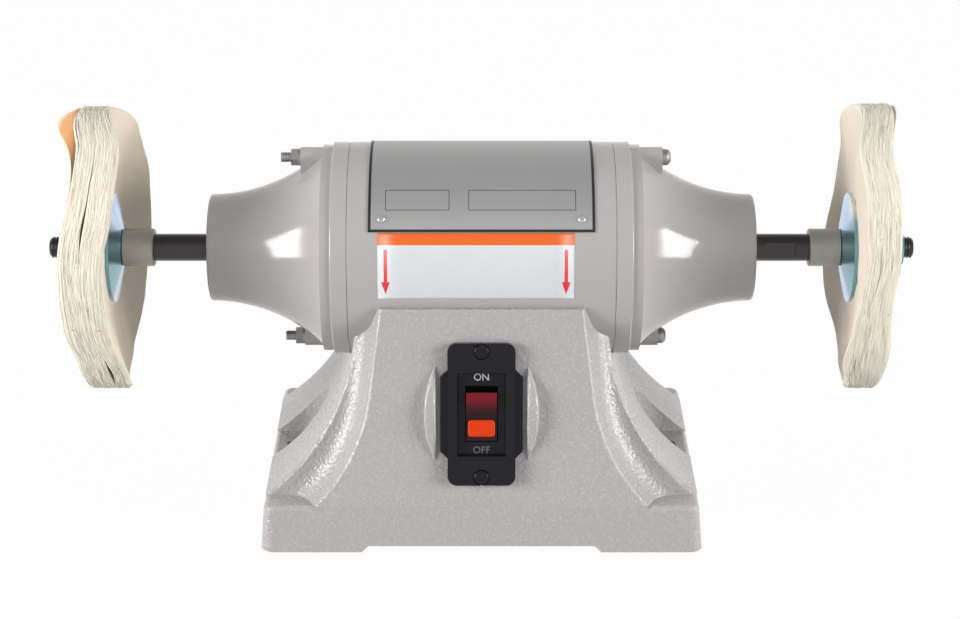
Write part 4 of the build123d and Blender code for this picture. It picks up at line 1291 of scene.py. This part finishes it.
    def build(self, shop: Paintshop) -> Object:
        """Builds the wheel, dresses it and puts it on the rotor in place of its solid.

        Args:
            shop: Where the finishes are.

        Returns:
            The wheel.
        """
        random = np.random.default_rng(self.seed)
        lines = self.ply_count * self.rim_samples
        felt = sum(height * self.streaks(random, lines, knots) for height, knots in self.felt_layers)
        fray = self.fray_height * self.lobes(random, self.fray_lobes, self.fray_fall)
        fray = self.radius + self.bell(self.crest) + fray
        pitch = 1 / self.ply_count
        waver = self.bound_share * pitch
        gap = self.gap_share * pitch
        bounds = [
            np.clip(number * pitch + waver * self.lobes(random, self.bound_lobes, self.bound_fall), 0, 1)
            for number in range(self.ply_count + 1)
        ]
        points, quads, corners = [], [], []
        count = 0
        for number in range(self.ply_count):
            edge = felt[number * self.rim_samples : (number + 1) * self.rim_samples].copy()
            edge[[0, -1]] -= self.edge_drop * np.abs(self.streaks(random, 2, self.edge_streaks))
            pair = (bounds[number] + gap, bounds[number + 1] - gap)
            ply_points, ply_quads, ply_corners = self.ply(number, pair, edge, fray)
            points.append(ply_points)
            quads.append(ply_quads + count)
            corners.append(ply_corners)
            count += len(ply_points)
        wheel = new_piece(self.side.named("cotton_plies"), np.concatenate(points), np.concatenate(quads))
        layer = wheel.data.uv_layers.new(name="rim")
        layer.data.foreach_set("uv", np.concatenate(corners).astype(np.float32).ravel())
        shop.dress(wheel, "cotton")
        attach(wheel, "rotor")
        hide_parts(self.side.named("buffing_wheel"))
        flange = self.side.named("inner_flange")
        lint = Lint(self.seed).grow(wheel, shop)
        return wheel


WHEELS = (
    BuffingWheel(
        Side.RIGHT,
        sway=(
            (24, 3.6), (56, -0.6), (83, 4.2), (122, -1.6), (148, 0.6), (208, -5.4), (298, 2.0), (330, -3.8),
        ),
        fan=4.5,
        fan_changes=(Hump(212, 16, 6.5),),
        crest=Hump(80, 26, 1.5),
        peel=Hump(80, 18, 2.0),
        splits=(Split(172, 7, 0.45, ply=8), Split(216, 5, 0.5, ply=5)),
        seed=11,
    ),
    BuffingWheel(
        Side.LEFT,
        sway=((5, -8.4), (45, -6.0), (80, 0.2), (125, -7.8), (177, -0.4), (232, -8.6), (281, 0.0)),
        fan=11.0,
        fan_changes=(Hump(78, 22, -7.5),),
        crest=Hump(110, 30, -0.4),
        peel=Hump(101, 19, 9.5),
        splits=(
            Split(153, 9, 1.3, ply=11), Split(133, 10, 0.5, ply=11), Split(102, 5, 0.45, ply=18),
            Split(223, 8, 2.1, ply=7), Split(192, 10, 0.4, ply=18),
        ),
        seed=23,
    ),
)
ARBOR_THREADS = tuple(
    Thread(
        side.named("arbor_thread"), "rotor", "dark_steel", "shaft",
        start=side.value * 231.1 * MM, end=side.value * 236.6 * MM,
        root=5.4 * MM, pitch=1.75 * MM, height=0.6 * MM,
    )
    for side in Side
)
BOLT_THREADS = tuple(
    Thread(
        name, "stand", "zinc_steel", "dull", start=-103.2 * MM, end=-108.5 * MM,
        root=2.45 * MM, pitch=1.0 * MM, height=0.36 * MM, rise=rise,
    )
    for name, rise in (("upper_bolt_thread", 52.0 * MM), ("lower_bolt_thread", -52.0 * MM))
)
# OFF uses the darker ink: painted shade on the same pale print as ON.
WORDS = (SwitchWord("ON", 19.7 * MM, "pale_ink"), SwitchWord("OFF", -19.7 * MM, "dim_ink"))


@dataclass(frozen=True)
class Lamp:
    """One soft rectangular lamp that faces the machine, seen in gloss or not."""

    name: str
    place: tuple[float, float, float]
    size: tuple[float, float]
    watts: float
    glossy: bool = True
    aim: tuple[float, float, float] = (0.0, 0.0, 0.1)

    def hang(self) -> None:
        """Adds the lamp to the scene."""
        data = bpy.data.lights.new(self.name, "AREA")
        data.shape = "RECTANGLE"
        data.size, data.size_y = self.size
        data.energy = self.watts
        lamp = linked(self.name, data)
        lamp.location = self.place
        lamp.visible_glossy = self.glossy
        heading = Vector(self.aim) - Vector(self.place)
        lamp.rotation_euler = heading.to_track_quat("-Z", "Y").to_euler()


@dataclass(frozen=True)
class Studio:
    """The camera, the pale floor, the soft lamps and the surrounding light."""

    distance: float = 1.4
    elevation: float = 19.7
    pitch: float = 21.1
    lens: float = 95.4
    sensor: float = 36.0
    sidestep: float = -0.0008
    surround: float = 0.09
    sky: Stops = (
        (0.0, (1.0, 1.0, 1.0)), (0.2, (1.0, 1.0, 1.0)), (0.6, (0.8, 0.8, 0.8)), (1.0, (0.45, 0.45, 0.46)),
    )
    floor_half: float = 6.0
    floor_glow: float = 0.98
    floor_colour: Colour = (0.5, 0.5, 0.5)
    floor_roughness: float = 0.9
    lamps: tuple[Lamp, ...] = (
        Lamp("left_box", (-2.3, -1.0, 0.6), (1.3, 1.1), 64.0),
        Lamp("right_box", (2.3, -1.0, 0.6), (1.3, 1.1), 56.0),
        Lamp("overhead", (0.0, 0.1, 1.9), (1.6, 0.8), 12.0, glossy=False),
    )

    def camera(self) -> None:
        """Puts the camera where the photograph was taken from."""
        data = bpy.data.cameras.new("camera")
        data.lens = self.lens
        data.sensor_width = self.sensor
        data.sensor_fit = "HORIZONTAL"
        camera = linked("camera", data)
        lift = math.radians(self.elevation)
        back, up = self.distance * math.cos(lift), self.distance * math.sin(lift)
        camera.location = (self.sidestep, -back, SHAFT_HEIGHT + up)
        camera.rotation_euler = (math.radians(90 - self.pitch), 0, 0)
        bpy.context.scene.camera = camera

    def world(self) -> None:
        """Surrounds the machine with a white horizon under a dim ceiling.

        It is fainter as light than as background.
        """
        world = bpy.data.worlds.new("surround")
        world.use_nodes = True
        wiring = Wiring(world.node_tree)
        wiring.tree.nodes.clear()
        output = wiring.tree.nodes.new("ShaderNodeOutputWorld")
        heading = wiring.add("ShaderNodeTexCoord", out="Generated")
        height = wiring.add("ShaderNodeSeparateXYZ", inputs={0: heading}, out="Z")
        sky = wiring.add("ShaderNodeValToRGB", {"stops": self.sky}, {"Fac": height}, out="Color")
        mixed: Inputs = {0: self.direct_rays(wiring)}
        for place, strength in ((1, self.surround), (2, 1.0)):
            mixed[place] = wiring.add("ShaderNodeBackground", inputs={"Color": sky, "Strength": strength})
        wiring.feed(output.inputs[0], wiring.add("ShaderNodeMixShader", inputs=mixed))
        bpy.context.scene.world = world

    @staticmethod
    def direct_rays(wiring: Wiring) -> NodeSocket:
        """A mask of the rays that show the background itself: those of the camera, of gloss and of glass.

        Args:
            wiring: The node tree that needs it.

        Returns:
            The mask's socket, 1 on those rays and 0 on the rest.
        """
        mask = wiring.add("ShaderNodeLightPath", out="Is Camera Ray")
        rays = mask.node.outputs
        for kind in ("Is Glossy Ray", "Is Transmission Ray"):
            mask = wiring.add("ShaderNodeMath", {"operation": "MAXIMUM"}, {0: mask, 1: rays[kind]})
        return mask

    def floor(self) -> None:
        """Lays a pale floor that takes a soft shadow."""
        half = self.floor_half
        square = [(-half, -half, 0), (half, -half, 0), (half, half, 0), (-half, half, 0)]
        floor = new_piece("floor", square, [(0, 1, 2, 3)])
        recipe = Recipe("pale_floor")
        recipe.finish(Base_Color=self.floor_colour, Roughness=self.floor_roughness)
        share = Signal(recipe, self.direct_rays(recipe)) * self.floor_glow
        mixed = {0: share, 1: recipe.shader.outputs[0], 2: recipe.add("ShaderNodeEmission")}
        recipe.feed(recipe.output.inputs[0], recipe.add("ShaderNodeMixShader", inputs=mixed))
        floor.data.materials.append(recipe.material)

    def build(self) -> None:
        """Sets up the whole studio."""
        bpy.context.scene.view_settings.view_transform = "Standard"
        self.camera()
        self.world()
        self.floor()
        for lamp in self.lamps:
            lamp.hang()


def main() -> None:
    """Builds the studio, dresses the solids and adds the pieces that only the visual model has."""
    logging.basicConfig(level=logging.INFO, format="%(message)s")
    Studio().build()
    shop = Paintshop()
    shop.dress_nodes()
    for added in (*WHEELS, *ARBOR_THREADS, *BOLT_THREADS, BarrelLabel(), *WORDS):
        LOG.info("%s is added", added.build(shop).name)


if __name__ == "__main__":
    main()
